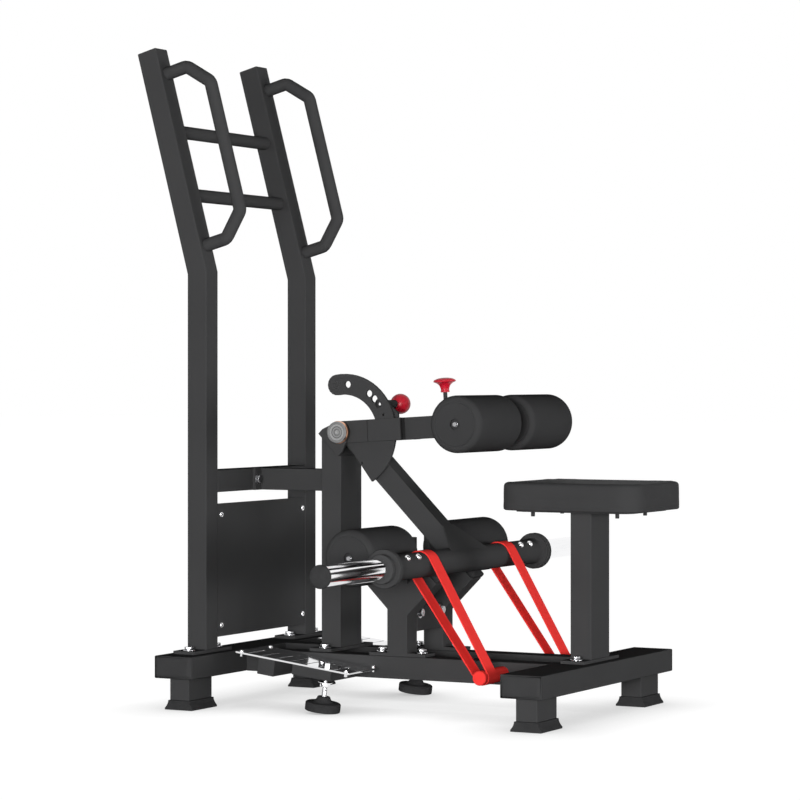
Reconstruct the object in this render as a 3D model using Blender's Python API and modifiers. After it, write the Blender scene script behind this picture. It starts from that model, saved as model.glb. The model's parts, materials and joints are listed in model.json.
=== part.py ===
"""Standing hip thrust machine, modelled piece by piece in Blender 4.5.

Metres, +Z up. +X points from the masts to the seat, +Y is the machine's left side. The origin is on
the floor under the middle of the machine. Every sub-part is one closed solid in one object.
"""

import math

import bmesh
import bpy
from mathutils import Matrix, Vector

# Clearances
SEAT_GAP = 0.0003  # between pieces that rest on, or are welded to, each other
BORE_GAP = 0.0003  # radial, between a shaft and its bore
SLIDE_GAP = 0.0010  # round the telescopic tube
BEYOND = 0.010  # how far a cutter reaches past what it cuts

# Tube and plate stock
TUBE = 0.0535
WIDE_TUBE = 0.104
TUBE_CORNER = 0.0025
PLATE = 0.008
BOLT_FLATS = 0.019
BOLT_HEAD = 0.008

# Base
REAR_X = -0.455
FRONT_X = 0.461
CROSS_SPAN = 0.738
CAP_RIM = 0.003
CAP_BULGE = 0.005
CAP_INSET = 0.0038
BEAM_Y = 0.093
FOOT_HEIGHT = 0.023
LEG_HEIGHT = 0.0535
LEG_Y = 0.2895
PAD_LENGTH_X = 0.077
PAD_LENGTH_Y = 0.113
PAD_LIP = 0.004
BEAM_BOTTOM = FOOT_HEIGHT + LEG_HEIGHT
DECK = BEAM_BOTTOM + TUBE
FLOOR_PLATE_TOP = DECK + SEAT_GAP + PLATE

# Masts and hand rails
MAST_Y = 0.237
MAST_BEND_Z = 1.043
MAST_LEAN = math.radians(15)
MAST_UPPER = 0.560
MAST_PLATE_X = 0.060
MAST_PLATE_Y = 0.170
MAST_BOLT_Y = 0.061
RUNG_RADIUS = 0.016
RUNG_UP = (0.198, 0.359)
HANDLE_RADIUS = 0.016
HANDLE_FROM = 0.062
HANDLE_TO = 0.495
HANDLE_REACH = 0.114
HANDLE_CHAMFER = 0.055
HANDLE_BEND = 0.020

# Rear cross bar, link and panel
REAR_BAR_Z = 0.541
LINK_WIDTH = 0.040
LINK_FLANGE_Y = 0.100
LINK_BOLT_Y = 0.039
LINK_BOLT_FLATS = 0.017
PANEL_BOTTOM = 0.165
PANEL_TOP = 0.487
PANEL_THICK = 0.003
PANEL_FACE_BACK = 0.001
PANEL_SCREW_Y = 0.195
PANEL_SCREW_IN = 0.027
PANEL_SCREW_RADIUS = 0.005
PANEL_SCREW_HEAD = 0.003
PANEL_TAB_HALF = 0.015
PANEL_TAB_IN = 0.012
PANEL_TAB_THICK = 0.005

# Pivot, centre post and clevis
PIVOT = Vector((-0.173, 0.0, 0.659))
CLEVIS_DROP = 0.044
CLEVIS_HALF = 0.0385
CLEVIS_SIDE = 0.016
CLEVIS_EYE = 0.0262
LUG_INNER_Y = 0.060
LUG_THICK = 0.008
SHAFT_RADIUS = 0.0125
SHAFT_CAP_RADIUS = 0.0237
SHAFT_CAP_THICK = 0.0125
# the cap's turned face, from its middle out: (radius, depth below the highest ring)
SHAFT_CAP_RINGS = ((0.0, 0.0010), (0.0070, 0.0010), (0.0080, 0.0026), (0.0125, 0.0026), (0.0137, 0.0006),
                   (0.0170, 0.0), (0.0205, 0.0014), (SHAFT_CAP_RADIUS, 0.0045))
WASHER_RADIUS = 0.0245
WASHER_THICK = 0.0024
CENTER_STRAP_X = 0.060
CENTER_STRAP_Y = 0.210
CENTER_BOLT_Y = 0.082

# Lever, notched sector and weight tube
LEVER_ANGLE = math.radians(-45)
LEVER_LENGTH = 0.427
HUB_RADIUS = 0.0272
SECTOR_THICK = 0.008
CHEEK_INNER_Y = 0.045
SECTOR_Y = SECTOR_THICK / 2 + 0.002 - CHEEK_INNER_Y
SECTOR_MID_RADIUS = 0.116
SECTOR_HALF_WIDTH = 0.0253
SECTOR_HORN = 100.1
SECTOR_HEEL = (0.0155, -0.0377)
SECTOR_TIP = -57.3
SECTOR_INNER_END = 13.0
SECTOR_HOLE_RADIUS = 0.0085
SECTOR_HOLES = (35.8, 44.3, 53.9, 85.4)
SECTOR_HUB_ARC = (72, 275)
SECTOR_BOSS = 0.0012
SECTOR_SMALL_HOLE = 0.003
SECTOR_SMALL_HOLES = ((0.1079, 0.0425), (0.0496, -0.0740))
SPACER_FROM = 0.060
SPACER_TO = SECTOR_MID_RADIUS + 0.018
WEIGHT_RADIUS = 0.030
WEIGHT_HALF = 0.377
WELD_RISE = 0.0025
WELD_RUN = 0.012
GUSSET_RUN = 0.088
GUSSET_HALF = 0.100
FLANGE_RADIUS = 0.045
FLANGE_THICK = 0.023
FLANGE_STEP = 0.0025
FLANGE_LIP = 0.008
TURNED_EDGE = 0.002
COLLAR_RADIUS = 0.034
COLLAR_LENGTH = 0.014
SLEEVE_RADIUS = 0.025
SLEEVE_LENGTH = 0.268
SLEEVE_CAP_RADIUS = 0.0265
SLEEVE_CAP_LENGTH = 0.010
# the cap's dome, from its middle out: (share of its radius, depth below the tip)
SLEEVE_CAP_DOME = ((0.0, 0.0), (0.55, 0.0008), (0.86, 0.0030), (1.0, 0.0065))
SET_BOLT_Y = (0.270, 0.322)
SET_BOLT_RADIUS = 0.006
SET_BOLT_HEIGHT = 0.004

# Roller arm and its telescopic head
ARM_TILT = math.radians(3.5)
CHEEK_THICK = 0.008
DOUBLER_THICK = 0.004
DOUBLER_LENGTH = 0.071
BRIDGE_FROM = SECTOR_MID_RADIUS + SECTOR_HALF_WIDTH + 0.0047
CHEEK_LENGTH = BRIDGE_FROM + 0.014
ARM_END = 0.362
ARM_WALL = 0.004
ARM_BORE_FROM = CHEEK_LENGTH + 0.026
ROLLER_AT = 0.410
HEAD_FROM = ARM_BORE_FROM + 0.004
HEAD_BEYOND = 0.024
HEAD_PIN_AT = 0.259
HEAD_PIN_RADIUS = 0.005
HEAD_PIN_PITCH = 0.025
HEAD_PIN_HOLES = 3
HEAD_PIN_TRAVEL = 0.006
BARREL_RADIUS = 0.009
BARREL_HEIGHT = 0.034
BARREL_NUT_HEIGHT = 0.010
BARREL_NUT_FLATS = 0.024
KNOB_START = 0.0815
KNOB_STEM = 0.0102
KNOB_DISC = 0.027
KNOB_HEIGHT = 0.035
# the mushroom's outline, as shares of its disc radius and of its height
KNOB_CAP = ((0.0, 1.0), (0.51, 0.97), (0.89, 0.87), (1.0, 0.757), (0.95, 0.706), (0.72, 0.634), (0.49, 0.471))
KNOB_NECK = ((1.0, 0.23), (1.12, 0.0))

# Pull pin of the sector
PULL_PIN_RADIUS = 0.005
PULL_SLEEVE_RADIUS = 0.010
PULL_SLEEVE_FROM = -0.031
PULL_TRAVEL = 0.006
PULL_TAB_RADIUS = 0.016
PULL_TAB_BACK = 0.002
PULL_TAB_RISE = 0.013
PULL_TAB_ARC = (40, 235)
PULL_TIP_Y = SECTOR_Y + SECTOR_THICK / 2 + SEAT_GAP
PULL_POINT = 0.002
BALL_RADIUS = 0.025
BALL_Y = 0.070
PULL_SLEEVE_TO = BALL_Y - BALL_RADIUS - PULL_TRAVEL - SEAT_GAP

# Rollers
ROLLER_RADIUS = 0.0665
ROLLER_LENGTH = 0.227
ROLLER_FACE = 0.053
ROLLER_ROUND = 0.0165
ROLLER_RECESS_RADIUS = 0.012
ROLLER_RECESS_DEPTH = 0.006
ROLLER_INNER_Y = 0.028
AXLE_RADIUS = 0.0085
AXLE_WASHER_RADIUS = 0.0098
AXLE_WASHER_THICK = 0.0015
AXLE_BOLT_RADIUS = 0.0065
AXLE_BOLT_HEIGHT = 0.005
AXLE_SHOULDER = 0.001

# Lower posts
POST_X = 0.0134
POST_TOP = 0.4115
LOWER_AXLE_Z = 0.3752
LOWER_ROLLER_GAP = 0.0085
POST_PLATE_X = 0.150
POST_BOLT_X = 0.053
FRONT_BRANCH_DROP = 0.002
REAR_BRANCH_RISE = 0.266
REAR_BRANCH_LENGTH = 0.120
BUMPER = 0.014
TIE_BOTTOM = 0.187
TIE_HEIGHT = 0.060
TIE_BOLT_Y = 0.054
TIE_BOLT_UP = 0.044
TIE_BOLT_HEAD = 0.007
TIE_BOLT_FLATS = 0.016

# Bands and their pegs
PEG_X = 0.293
PEG_RADIUS = 0.015
PEG_TO_Y = 0.241
BAND_THICK = 0.003
BAND_WIDTH = 0.045
BAND_Y = 0.2055

# Foot plates
STEP_REAR_X = -0.341
STEP_REAR_TOP = 0.1398
STEP_SLOPE = math.radians(-7.1)
STEP_LENGTH = 0.311
STEP_INNER_Y = 0.1215
STEP_WIDTH = 0.150
STEP_THICK = 0.004
STEP_SLOTS = 7
STEP_SLOT_FROM = 0.031
STEP_SLOT_PITCH = 0.039
STEP_SLOT_WIDTH = 0.0035
STEP_SLOT_SIDES = (0.070, 0.142)
STEP_BOLT_END = 0.012
STEP_BOLT_SIDE = 0.008
STEP_BOLT_RADIUS = 0.0045
STEP_BOLT_HEAD = 0.003
STEP_BOLT_BELOW = 0.007
BRACKET_REAR = (0.061, 0.106, 0.040)
BRACKET_FRONT = (0.155, 0.260, 0.025)
BRACKET_OUTER_Y = 0.265

# Levelling feet
LEVEL_X = -0.125
LEVEL_Y = 0.233
LEVEL_DISC_RADIUS = 0.042
LEVEL_DISC_HEIGHT = 0.021
LEVEL_HUB_BASE = 0.023
LEVEL_HUB_TOP = 0.016
LEVEL_HUB_HEIGHT = 0.035
STUD_RADIUS = 0.006
STUD_ABOVE = 0.016
STUD_NUT_HEIGHT = 0.009

# Seat
SEAT_POST_TOP = 0.480
SEAT_X = 0.4652
SEAT_LENGTH_X = 0.350
SEAT_LENGTH_Y = 0.294
SEAT_THICK = 0.058
SEAT_CORNER = 0.053
SEAT_CROWN = 0.004
SEAT_EDGE_FALL = 0.35  # the share of the crown that the top's edges lie below the block's top
SEAT_DRAW_IN = 0.002
BOARD_INSET = 0.026
BOARD_CORNER = 0.030
SEAT_STUD_X = 0.107
SEAT_STUD_Y = 0.080
SEAT_STUD_BACK = 0.002
SEAT_STUD_RADIUS = 0.005
SEAT_STUD_DROP = 0.012
SEAT_BOLT_Y = 0.075
SEAT_PLATE_Y = 0.200

TURN_STEPS = 24
ROUND_SIDES = 20
ACROSS = Matrix.Rotation(-math.pi / 2, 4, "X")  # turns a shape's Z axis to +Y
SIDES = (("left", 1), ("right", -1))


def clear_scene():
    for old in list(bpy.data.objects):
        bpy.data.objects.remove(old, do_unlink=True)


def new_collection(name):
    collection = bpy.data.collections.new(name)
    bpy.context.scene.collection.children.link(collection)
    return collection


def material(name, colour, roughness, metallic=0.0):
    made = bpy.data.materials.new(name)
    made.use_nodes = True
    shader = made.node_tree.nodes["Principled BSDF"]
    shader.inputs["Base Color"].default_value = (*colour, 1.0)
    shader.inputs["Roughness"].default_value = roughness
    shader.inputs["Metallic"].default_value = metallic
    made.diffuse_color = (*colour, 1.0)
    return made


clear_scene()
PARTS = new_collection("standing_hip_thrust_machine")
CUTTERS = new_collection("cutters")

POWDER_COAT = material("charcoal powder coat", (0.040, 0.041, 0.043), 0.42)
BLACK_PLASTIC = material("black plastic", (0.022, 0.022, 0.024), 0.50)
RUBBER = material("black rubber", (0.018, 0.018, 0.019), 0.75)
FOAM = material("black roller skin", (0.020, 0.020, 0.021), 0.55)
UPHOLSTERY = material("black upholstery", (0.026, 0.026, 0.028), 0.50)
CHROME = material("polished chrome", (0.80, 0.80, 0.81), 0.08, 1.0)
ZINC = material("bright zinc", (0.62, 0.62, 0.63), 0.25, 1.0)
BRONZE = material("bronze", (0.72, 0.38, 0.24), 0.30, 1.0)
STEEL_TREAD = material("polished tread plate", (0.55, 0.55, 0.56), 0.22, 1.0)
KNOB_RED = material("crimson knob", (0.58, 0.010, 0.035), 0.35)
BAND_RED = material("red rubber band", (0.90, 0.045, 0.040), 0.55)


def tilted(point, angle):
    """A frame at a point whose +X axis is raised by the angle in the XZ plane."""
    return Matrix.Translation(point) @ Matrix.Rotation(-angle, 4, "Y")


def add_object(name, data, where):
    made = bpy.data.objects.new(name, data)
    PARTS.objects.link(made)
    made.matrix_world = where
    return made


def bake(obj):
    """Replaces a curve, or a mesh with modifiers, by the mesh it evaluates to."""
    bpy.context.view_layer.update()
    evaluated = obj.evaluated_get(bpy.context.evaluated_depsgraph_get())
    mesh = bpy.data.meshes.new_from_object(evaluated)
    work = bmesh.new()
    work.from_mesh(mesh)
    bmesh.ops.remove_doubles(work, verts=work.verts, dist=0.00001)
    work.to_mesh(mesh)
    work.free()
    name, where = obj.name, obj.matrix_world.copy()
    bpy.data.objects.remove(obj, do_unlink=True)
    return add_object(name, mesh, where)


def mesh_object(name, work, where):
    mesh = bpy.data.meshes.new(name)
    work.to_mesh(mesh)
    work.free()
    return add_object(name, mesh, where)


def box(name, low, high, where=Matrix(), corner=0.0, along=None):
    """A block between two corners; the edges that run along the given axis can be rounded."""
    low, high = Vector(low), Vector(high)
    work = bmesh.new()
    size = Matrix.Diagonal((*(high - low), 1.0))
    bmesh.ops.create_cube(work, size=1.0, matrix=Matrix.Translation((low + high) / 2) @ size)
    if corner:
        edges = [e for e in work.edges if abs((e.verts[0].co - e.verts[1].co).normalized()[along]) > 0.99]
        bmesh.ops.bevel(work, geom=edges, offset=corner, segments=2, profile=0.5, affect="EDGES")
    return mesh_object(name, work, where)


def rod(name, radius, start, end, where=Matrix(), sides=ROUND_SIDES):
    """A cylinder from one height to another on the Z axis of its frame."""
    work = bmesh.new()
    middle = Matrix.Translation((0, 0, (start + end) / 2))
    bmesh.ops.create_cone(work, cap_ends=True, segments=sides, radius1=radius, radius2=radius,
                          depth=end - start, matrix=middle)
    return mesh_object(name, work, where)


def hex_head(name, where, height=BOLT_HEAD, flats=BOLT_FLATS):
    """A bolt head that stands on, and reaches a little into, the face below it."""
    return rod(name, flats / math.sqrt(3), -0.001, height, where, sides=6)


def arc(radius, start, end, steps, center=(0.0, 0.0)):
    """Points on an arc, angles in degrees."""
    angles = [math.radians(start + (end - start) * k / steps) for k in range(steps + 1)]
    return [(center[0] + radius * math.cos(a), center[1] + radius * math.sin(a)) for a in angles]


def circle(radius, center=(0.0, 0.0), steps=16):
    return arc(radius, 0, 360 - 360 / steps, steps - 1, center)


def plate(name, outlines, thickness, where=Matrix()):
    """A flat piece in the XZ plane of its frame, centred on Y; outlines after the first are holes."""
    curve = bpy.data.curves.new(name, "CURVE")
    curve.dimensions = "2D"
    curve.fill_mode = "BOTH"
    curve.extrude = thickness / 2
    for points in outlines:
        spline = curve.splines.new("POLY")
        spline.points.add(len(points) - 1)
        for dot, (x, z) in zip(spline.points, points):
            dot.co = (x, z, 0.0, 1.0)
        spline.use_cyclic_u = True
    return bake(add_object(name, curve, where @ Matrix.Rotation(math.pi / 2, 4, "X")))


def turned(name, profile, where, steps=TURN_STEPS, closed=False):
    """A solid of revolution about the Z axis from (radius, height) pairs, listed top to bottom."""
    mesh = bpy.data.meshes.new(name)
    count = len(profile)
    edges = [(k, k + 1) for k in range(count - 1)]
    if closed:
        edges.append((count - 1, 0))
    mesh.from_pydata([(radius, 0.0, height) for radius, height in profile], edges, [])
    made = add_object(name, mesh, where)
    screw = made.modifiers.new("Turn", "SCREW")
    screw.angle = 2 * math.pi
    screw.steps = steps
    screw.render_steps = steps
    screw.use_merge_vertices = True
    screw.merge_threshold = 0.00001
    return bake(made)


def union(target, *pieces):
    """Welds the pieces into the target as one solid."""
    for piece in pieces:
        weld = target.modifiers.new(piece.name, "BOOLEAN")
        weld.operation = "UNION"
        weld.object = piece
    target = bake(target)
    for piece in pieces:
        bpy.data.objects.remove(piece, do_unlink=True)
    return target


def cut(target, *cutters):
    """Cuts the target with pieces that stay beside it as guides."""
    for cutter in cutters:
        bite = target.modifiers.new(cutter.name, "BOOLEAN")
        bite.operation = "DIFFERENCE"
        bite.object = cutter
        cutter.hide_render = True
        cutter.display_type = "WIRE"
        PARTS.objects.unlink(cutter)
        CUTTERS.objects.link(cutter)
    return target


def finish(obj, surface, joint=None):
    """Gives a piece its material and smooth round faces, and hangs it on its joint's empty."""
    obj.data.materials.clear()
    obj.data.materials.append(surface)
    obj.data.shade_smooth()
    obj.data.set_sharp_from_angle(angle=math.radians(32))
    if joint:
        obj.parent = joint
        obj.matrix_parent_inverse = joint.matrix_world.inverted()
    return obj


def joint_empty(name, where, parent=None):
    empty = bpy.data.objects.new(name, None)
    empty.empty_display_size = 0.05
    PARTS.objects.link(empty)
    empty.matrix_world = where
    if parent:
        empty.parent = parent
        empty.matrix_parent_inverse = parent.matrix_world.inverted()
    bpy.context.view_layer.update()
    return empty


def at(x, y, z):
    return Matrix.Translation((x, y, z))


def stacked(name, levels, where):
    """A block with a rectangular section that changes from level to level: (height, half x, half y)."""
    work = bmesh.new()
    height, half_x, half_y = levels[0]
    bmesh.ops.create_grid(work, x_segments=1, y_segments=1, size=1.0)
    for corner in work.verts:
        corner.co = (corner.co.x * half_x, corner.co.y * half_y, height)
    top = work.faces[:][0]
    for height, half_x, half_y in levels[1:]:
        grown = bmesh.ops.extrude_face_region(work, geom=[top, *top.edges, *top.verts])
        top = [item for item in grown["geom"] if isinstance(item, bmesh.types.BMFace)][0]
        for corner in top.verts:
            corner.co = (math.copysign(half_x, corner.co.x), math.copysign(half_y, corner.co.y), height)
    bmesh.ops.recalc_face_normals(work, faces=work.faces)
    return mesh_object(name, work, where)


def base_frame():
    """Two wide cross tubes on flared feet, joined by two side beams."""
    for end, x in (("rear", REAR_X), ("front", FRONT_X)):
        half_y = CROSS_SPAN / 2 - CAP_RIM - SEAT_GAP
        half_x = WIDE_TUBE / 2
        tube = box(f"{end}_cross_tube", (x - half_x, -half_y, BEAM_BOTTOM), (x + half_x, half_y, DECK),
                   corner=TUBE_CORNER, along=1)
        legs = []
        for side, sign in SIDES:
            low = (x - TUBE / 2, sign * LEG_Y - WIDE_TUBE / 2, FOOT_HEIGHT + SEAT_GAP)
            high = (x + TUBE / 2, sign * LEG_Y + WIDE_TUBE / 2, BEAM_BOTTOM + TUBE / 10)
            legs.append(box(f"leg_{side}", low, high, corner=TUBE_CORNER, along=2))
            foot_pad(f"foot_pad_{end}_{side}", x, sign * LEG_Y)
            end_cap(f"end_cap_{end}_{side}", x, sign)
        finish(union(tube, *legs), POWDER_COAT)
    for side, sign in SIDES:
        side_beam(side, sign)


def foot_pad(name, x, y):
    half_x, half_y = PAD_LENGTH_X / 2, PAD_LENGTH_Y / 2
    top_x, top_y = TUBE / 2 + CAP_RIM, WIDE_TUBE / 2 + CAP_RIM
    levels = [(0.0, half_x, half_y), (PAD_LIP, half_x, half_y)]
    for k in range(1, 5):
        rise = k / 4
        spread = (1 - rise) ** 2
        height = PAD_LIP + (FOOT_HEIGHT - PAD_LIP) * rise
        levels.append((height, top_x + (half_x - top_x) * spread, top_y + (half_y - top_y) * spread))
    finish(stacked(name, levels, at(x, y, 0)), RUBBER)


def end_cap(name, x, sign):
    """A moulded plug with a flat rim and a bulged face."""
    out = Matrix.Rotation(-sign * math.pi / 2, 4, "X")
    half_x, half_z = WIDE_TUBE / 2, TUBE / 2
    levels = [(0.0, half_x, half_z), (CAP_RIM, half_x, half_z)]
    for rise, inset in ((0.0, 1.0), (0.7, 2.0), (1.0, 4.0)):
        levels.append((CAP_RIM + CAP_BULGE * rise, half_x - inset * CAP_INSET, half_z - inset * CAP_INSET))
    where = at(x, sign * (CROSS_SPAN / 2 - CAP_RIM), DECK - half_z) @ out
    finish(stacked(name, levels, where), BLACK_PLASTIC)


def side_beam(side, sign):
    """A long tube with the foot plate's two brackets and the band peg welded to its outer face."""
    rear = REAR_X + WIDE_TUBE / 2 + SEAT_GAP
    front = FRONT_X - WIDE_TUBE / 2 - SEAT_GAP
    middle, half = sign * BEAM_Y, TUBE / 2
    beam = box(f"side_beam_{side}", (rear, middle - half, BEAM_BOTTOM), (front, middle + half, DECK),
               corner=TUBE_CORNER, along=0)
    inside = BEAM_Y
    welded = []
    for start, end, deep in (BRACKET_REAR, BRACKET_FRONT):
        near, far = sorted((sign * inside, sign * BRACKET_OUTER_Y))
        top = -STEP_THICK - SEAT_GAP
        welded.append(box("bracket", (start, near, top - deep), (end, far, top), step_frame(),
                          corner=TUBE_CORNER / 2, along=1))
    peg_low, peg_high = sorted((sign * inside, sign * PEG_TO_Y))
    welded.append(rod("peg", PEG_RADIUS, peg_low, peg_high, at(PEG_X, 0, BEAM_BOTTOM + half) @ ACROSS))
    beam = union(beam, *welded)
    stud_hole = rod(f"stud_hole_{side}", STUD_RADIUS + BORE_GAP, LEVEL_HUB_HEIGHT, step_height() + PLATE,
                    levelling_frame(sign), sides=16)
    finish(cut(beam, stud_hole), POWDER_COAT)


def step_frame():
    return tilted(Vector((STEP_REAR_X, 0, STEP_REAR_TOP)), STEP_SLOPE)


def mast_frame(sign=0):
    """A frame at the mast's bend: +X out of its front face, +Z up along the leaning half."""
    return Matrix.Translation((REAR_X, sign * MAST_Y, MAST_BEND_Z)) @ Matrix.Rotation(-MAST_LEAN, 4, "Y")


def masts():
    half = TUBE / 2
    turn = half * math.tan(MAST_LEAN / 2)
    lean = Matrix.Rotation(MAST_LEAN, 2)
    top = [(-half, MAST_UPPER), (half, MAST_UPPER)]
    top = [lean @ Vector(corner) for corner in top]
    for side, sign in SIDES:
        foot = FLOOR_PLATE_TOP - MAST_BEND_Z - PLATE / 2
        outline = [(-half, foot), (half, foot), (half, turn), top[1], top[0], (-half, -turn)]
        mast = plate(f"mast_{side}", [outline], TUBE, at(REAR_X, sign * MAST_Y, MAST_BEND_Z))
        round_edges(mast, TUBE_CORNER, limit=40)
        base = floor_plate("base", REAR_X, sign * MAST_Y, MAST_PLATE_X, MAST_PLATE_Y)
        bolts = floor_bolts([(REAR_X, sign * MAST_Y + step) for step in (-MAST_BOLT_Y, MAST_BOLT_Y)])
        finish(union(mast, base, *bolts), POWDER_COAT)
        finish(handle(f"handle_{side}", sign), POWDER_COAT)
    for level, up in zip(("lower", "upper"), RUNG_UP):
        reach = MAST_Y - half - SEAT_GAP
        where = mast_frame() @ at(0, 0, up) @ ACROSS
        finish(rod(f"mast_rung_{level}", RUNG_RADIUS, -reach, reach, where), POWDER_COAT)


def round_edges(obj, width, limit=30, segments=2):
    bevel = obj.modifiers.new("Bevel", "BEVEL")
    bevel.width = width
    bevel.segments = segments
    bevel.limit_method = "ANGLE"
    bevel.angle_limit = math.radians(limit)


def floor_plate(name, x, y, size_x, size_y):
    bottom = DECK + SEAT_GAP
    low = (x - size_x / 2, y - size_y / 2, bottom)
    return box(name, low, (x + size_x / 2, y + size_y / 2, bottom + PLATE))


def floor_bolts(places):
    return [hex_head(f"bolt_{k}", at(x, y, FLOOR_PLATE_TOP)) for k, (x, y) in enumerate(places)]


def handle(name, sign):
    """A bent grab rail that stands out from the mast's front face."""
    face = TUBE / 2 + SEAT_GAP
    reach = face + HANDLE_REACH
    shoulder = reach - HANDLE_CHAMFER
    corners = [(face, HANDLE_TO), (shoulder, HANDLE_TO), (reach, HANDLE_TO - HANDLE_CHAMFER),
               (reach, HANDLE_FROM + HANDLE_CHAMFER), (shoulder, HANDLE_FROM), (face, HANDLE_FROM)]
    points = [Vector((x, 0, z)) for x, z in corners]
    curve = bpy.data.curves.new(name, "CURVE")
    curve.dimensions = "3D"
    curve.bevel_depth = HANDLE_RADIUS
    curve.bevel_resolution = 5
    curve.use_fill_caps = True
    path = rounded(points, HANDLE_BEND, 3)
    spline = curve.splines.new("POLY")
    spline.points.add(len(path) - 1)
    for dot, point in zip(spline.points, path):
        dot.co = (*point, 1.0)
    return bake(add_object(name, curve, mast_frame(sign)))


def rounded(points, radius, steps):
    """The path through the points with each inner corner rounded to the radius."""
    path = [points[0]]
    for before, corner, after in zip(points, points[1:], points[2:]):
        back, ahead = (before - corner).normalized(), (after - corner).normalized()
        half_turn = (math.pi - back.angle(ahead)) / 2
        reach = radius * math.tan(half_turn)
        start, end = corner + back * reach, corner + ahead * reach
        for k in range(steps + 1):
            share = k / steps
            path.append((start.lerp(corner, share)).lerp(corner.lerp(end, share), share))
    path.append(points[-1])
    return path


def rear_bars():
    """The bar between the masts, its link to the centre post and the sheet panel under it."""
    half = TUBE / 2
    reach = MAST_Y - half - SEAT_GAP
    low = (REAR_X - half, -reach, REAR_BAR_Z - half)
    high = (REAR_X + half, reach, REAR_BAR_Z + half)
    finish(box("rear_crossbar", low, high, corner=TUBE_CORNER, along=1), POWDER_COAT)

    start = REAR_X + half + SEAT_GAP
    flange_end = start + PLATE
    end = post_x() - TUBE / 2 - SEAT_GAP
    link = box("connecting_bar", (start + PLATE / 2, -LINK_WIDTH / 2, REAR_BAR_Z - half),
               (end, LINK_WIDTH / 2, REAR_BAR_Z + half), corner=TUBE_CORNER, along=0)
    flange = box("flange", (start, -LINK_FLANGE_Y / 2, REAR_BAR_Z - half),
                 (flange_end, LINK_FLANGE_Y / 2, REAR_BAR_Z + half))
    forward = Matrix.Rotation(math.pi / 2, 4, "Y")
    bolts = [hex_head("bolt", at(flange_end, sign * LINK_BOLT_Y, REAR_BAR_Z) @ forward, flats=LINK_BOLT_FLATS)
             for side, sign in SIDES]
    finish(union(link, flange, *bolts), POWDER_COAT)

    face = REAR_X + half - PANEL_FACE_BACK
    sheet = box("rear_panel", (face - PANEL_THICK, -reach, PANEL_BOTTOM), (face, reach, PANEL_TOP))
    extras = []
    for z in (PANEL_BOTTOM + PANEL_SCREW_IN, PANEL_TOP - PANEL_SCREW_IN):
        for side, sign in SIDES:
            place = at(face, sign * PANEL_SCREW_Y, z) @ forward
            extras.append(rod("screw", PANEL_SCREW_RADIUS, -PANEL_FACE_BACK, PANEL_SCREW_HEAD, place, 12))
            near, far = sorted((sign * (PANEL_SCREW_Y - PANEL_TAB_IN), sign * reach))
            extras.append(box("tab", (face - PANEL_THICK - PANEL_TAB_THICK, near, z - PANEL_TAB_HALF),
                              (face - PANEL_THICK / 2, far, z + PANEL_TAB_HALF)))
    finish(union(sheet, *extras), POWDER_COAT)


def post_x():
    """The centre post stands under the middle of the clevis."""
    return PIVOT.x - CLEVIS_DROP / math.sqrt(2)


def clevis_frame():
    """A frame on the pivot axis whose -Z points down to the slanted clevis base."""
    return tilted(PIVOT, LEVER_ANGLE)


def center_post():
    x, half = post_x(), TUBE / 2
    seat_z = PIVOT.z - CLEVIS_DROP / math.sqrt(2)
    slack = SEAT_GAP * math.sqrt(2)
    outline = [(-half, FLOOR_PLATE_TOP - PLATE / 2), (half, FLOOR_PLATE_TOP - PLATE / 2),
               (half, seat_z - half - slack), (-half, seat_z + half - slack)]
    post = plate("center_post", [outline], WIDE_TUBE, at(x, 0, 0))
    round_edges(post, TUBE_CORNER, limit=60)
    strap = floor_plate("strap", x, 0, CENTER_STRAP_X, CENTER_STRAP_Y)
    bolts = floor_bolts([(x, sign * CENTER_BOLT_Y) for side, sign in SIDES])
    finish(union(post, strap, *bolts), POWDER_COAT)


def eye_outline(radius, drop, half, straight):
    """A lug: square at its foot, then drawn in along tangents to the eye round the axis."""
    shoulder = (half, straight - drop)
    reach = math.hypot(*shoulder)
    lean = math.degrees(math.atan2(shoulder[1], shoulder[0]) + math.acos(radius / reach))
    eye = arc(radius, lean, 180 - lean, 14)
    return [(half, -drop), shoulder, *eye, (-half, shoulder[1]), (-half, -drop)]


def clevis():
    """The bracket on the slanted post top that carries the pivot shaft between two lugs."""
    frame = clevis_frame()
    reach = LUG_INNER_Y + LUG_THICK
    base = box("pivot_clevis", (-CLEVIS_HALF, -reach, -CLEVIS_DROP),
               (CLEVIS_HALF, reach, -CLEVIS_DROP + PLATE), frame)
    outline = eye_outline(CLEVIS_EYE, CLEVIS_DROP, CLEVIS_HALF, CLEVIS_SIDE)
    bore = circle(SHAFT_RADIUS + BORE_GAP, steps=ROUND_SIDES)
    lugs = [plate("lug", [outline, bore], LUG_THICK, frame @ at(0, sign * (reach - LUG_THICK / 2), 0))
            for side, sign in SIDES]
    finish(union(base, *lugs), POWDER_COAT)


def pivot_shaft(joint):
    """The shaft turns with the lever and has a turned cap outside each lug."""
    face = LUG_INNER_Y + LUG_THICK + SEAT_GAP
    top = face + SHAFT_CAP_THICK
    cap = [(radius, top - depth) for radius, depth in SHAFT_CAP_RINGS]
    cap += [(SHAFT_CAP_RADIUS, face), (SHAFT_RADIUS, face)]
    profile = cap + [(radius, -height) for radius, height in reversed(cap)]
    finish(turned("pivot_shaft", profile, at(*PIVOT) @ ACROSS), CHROME, joint)


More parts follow.
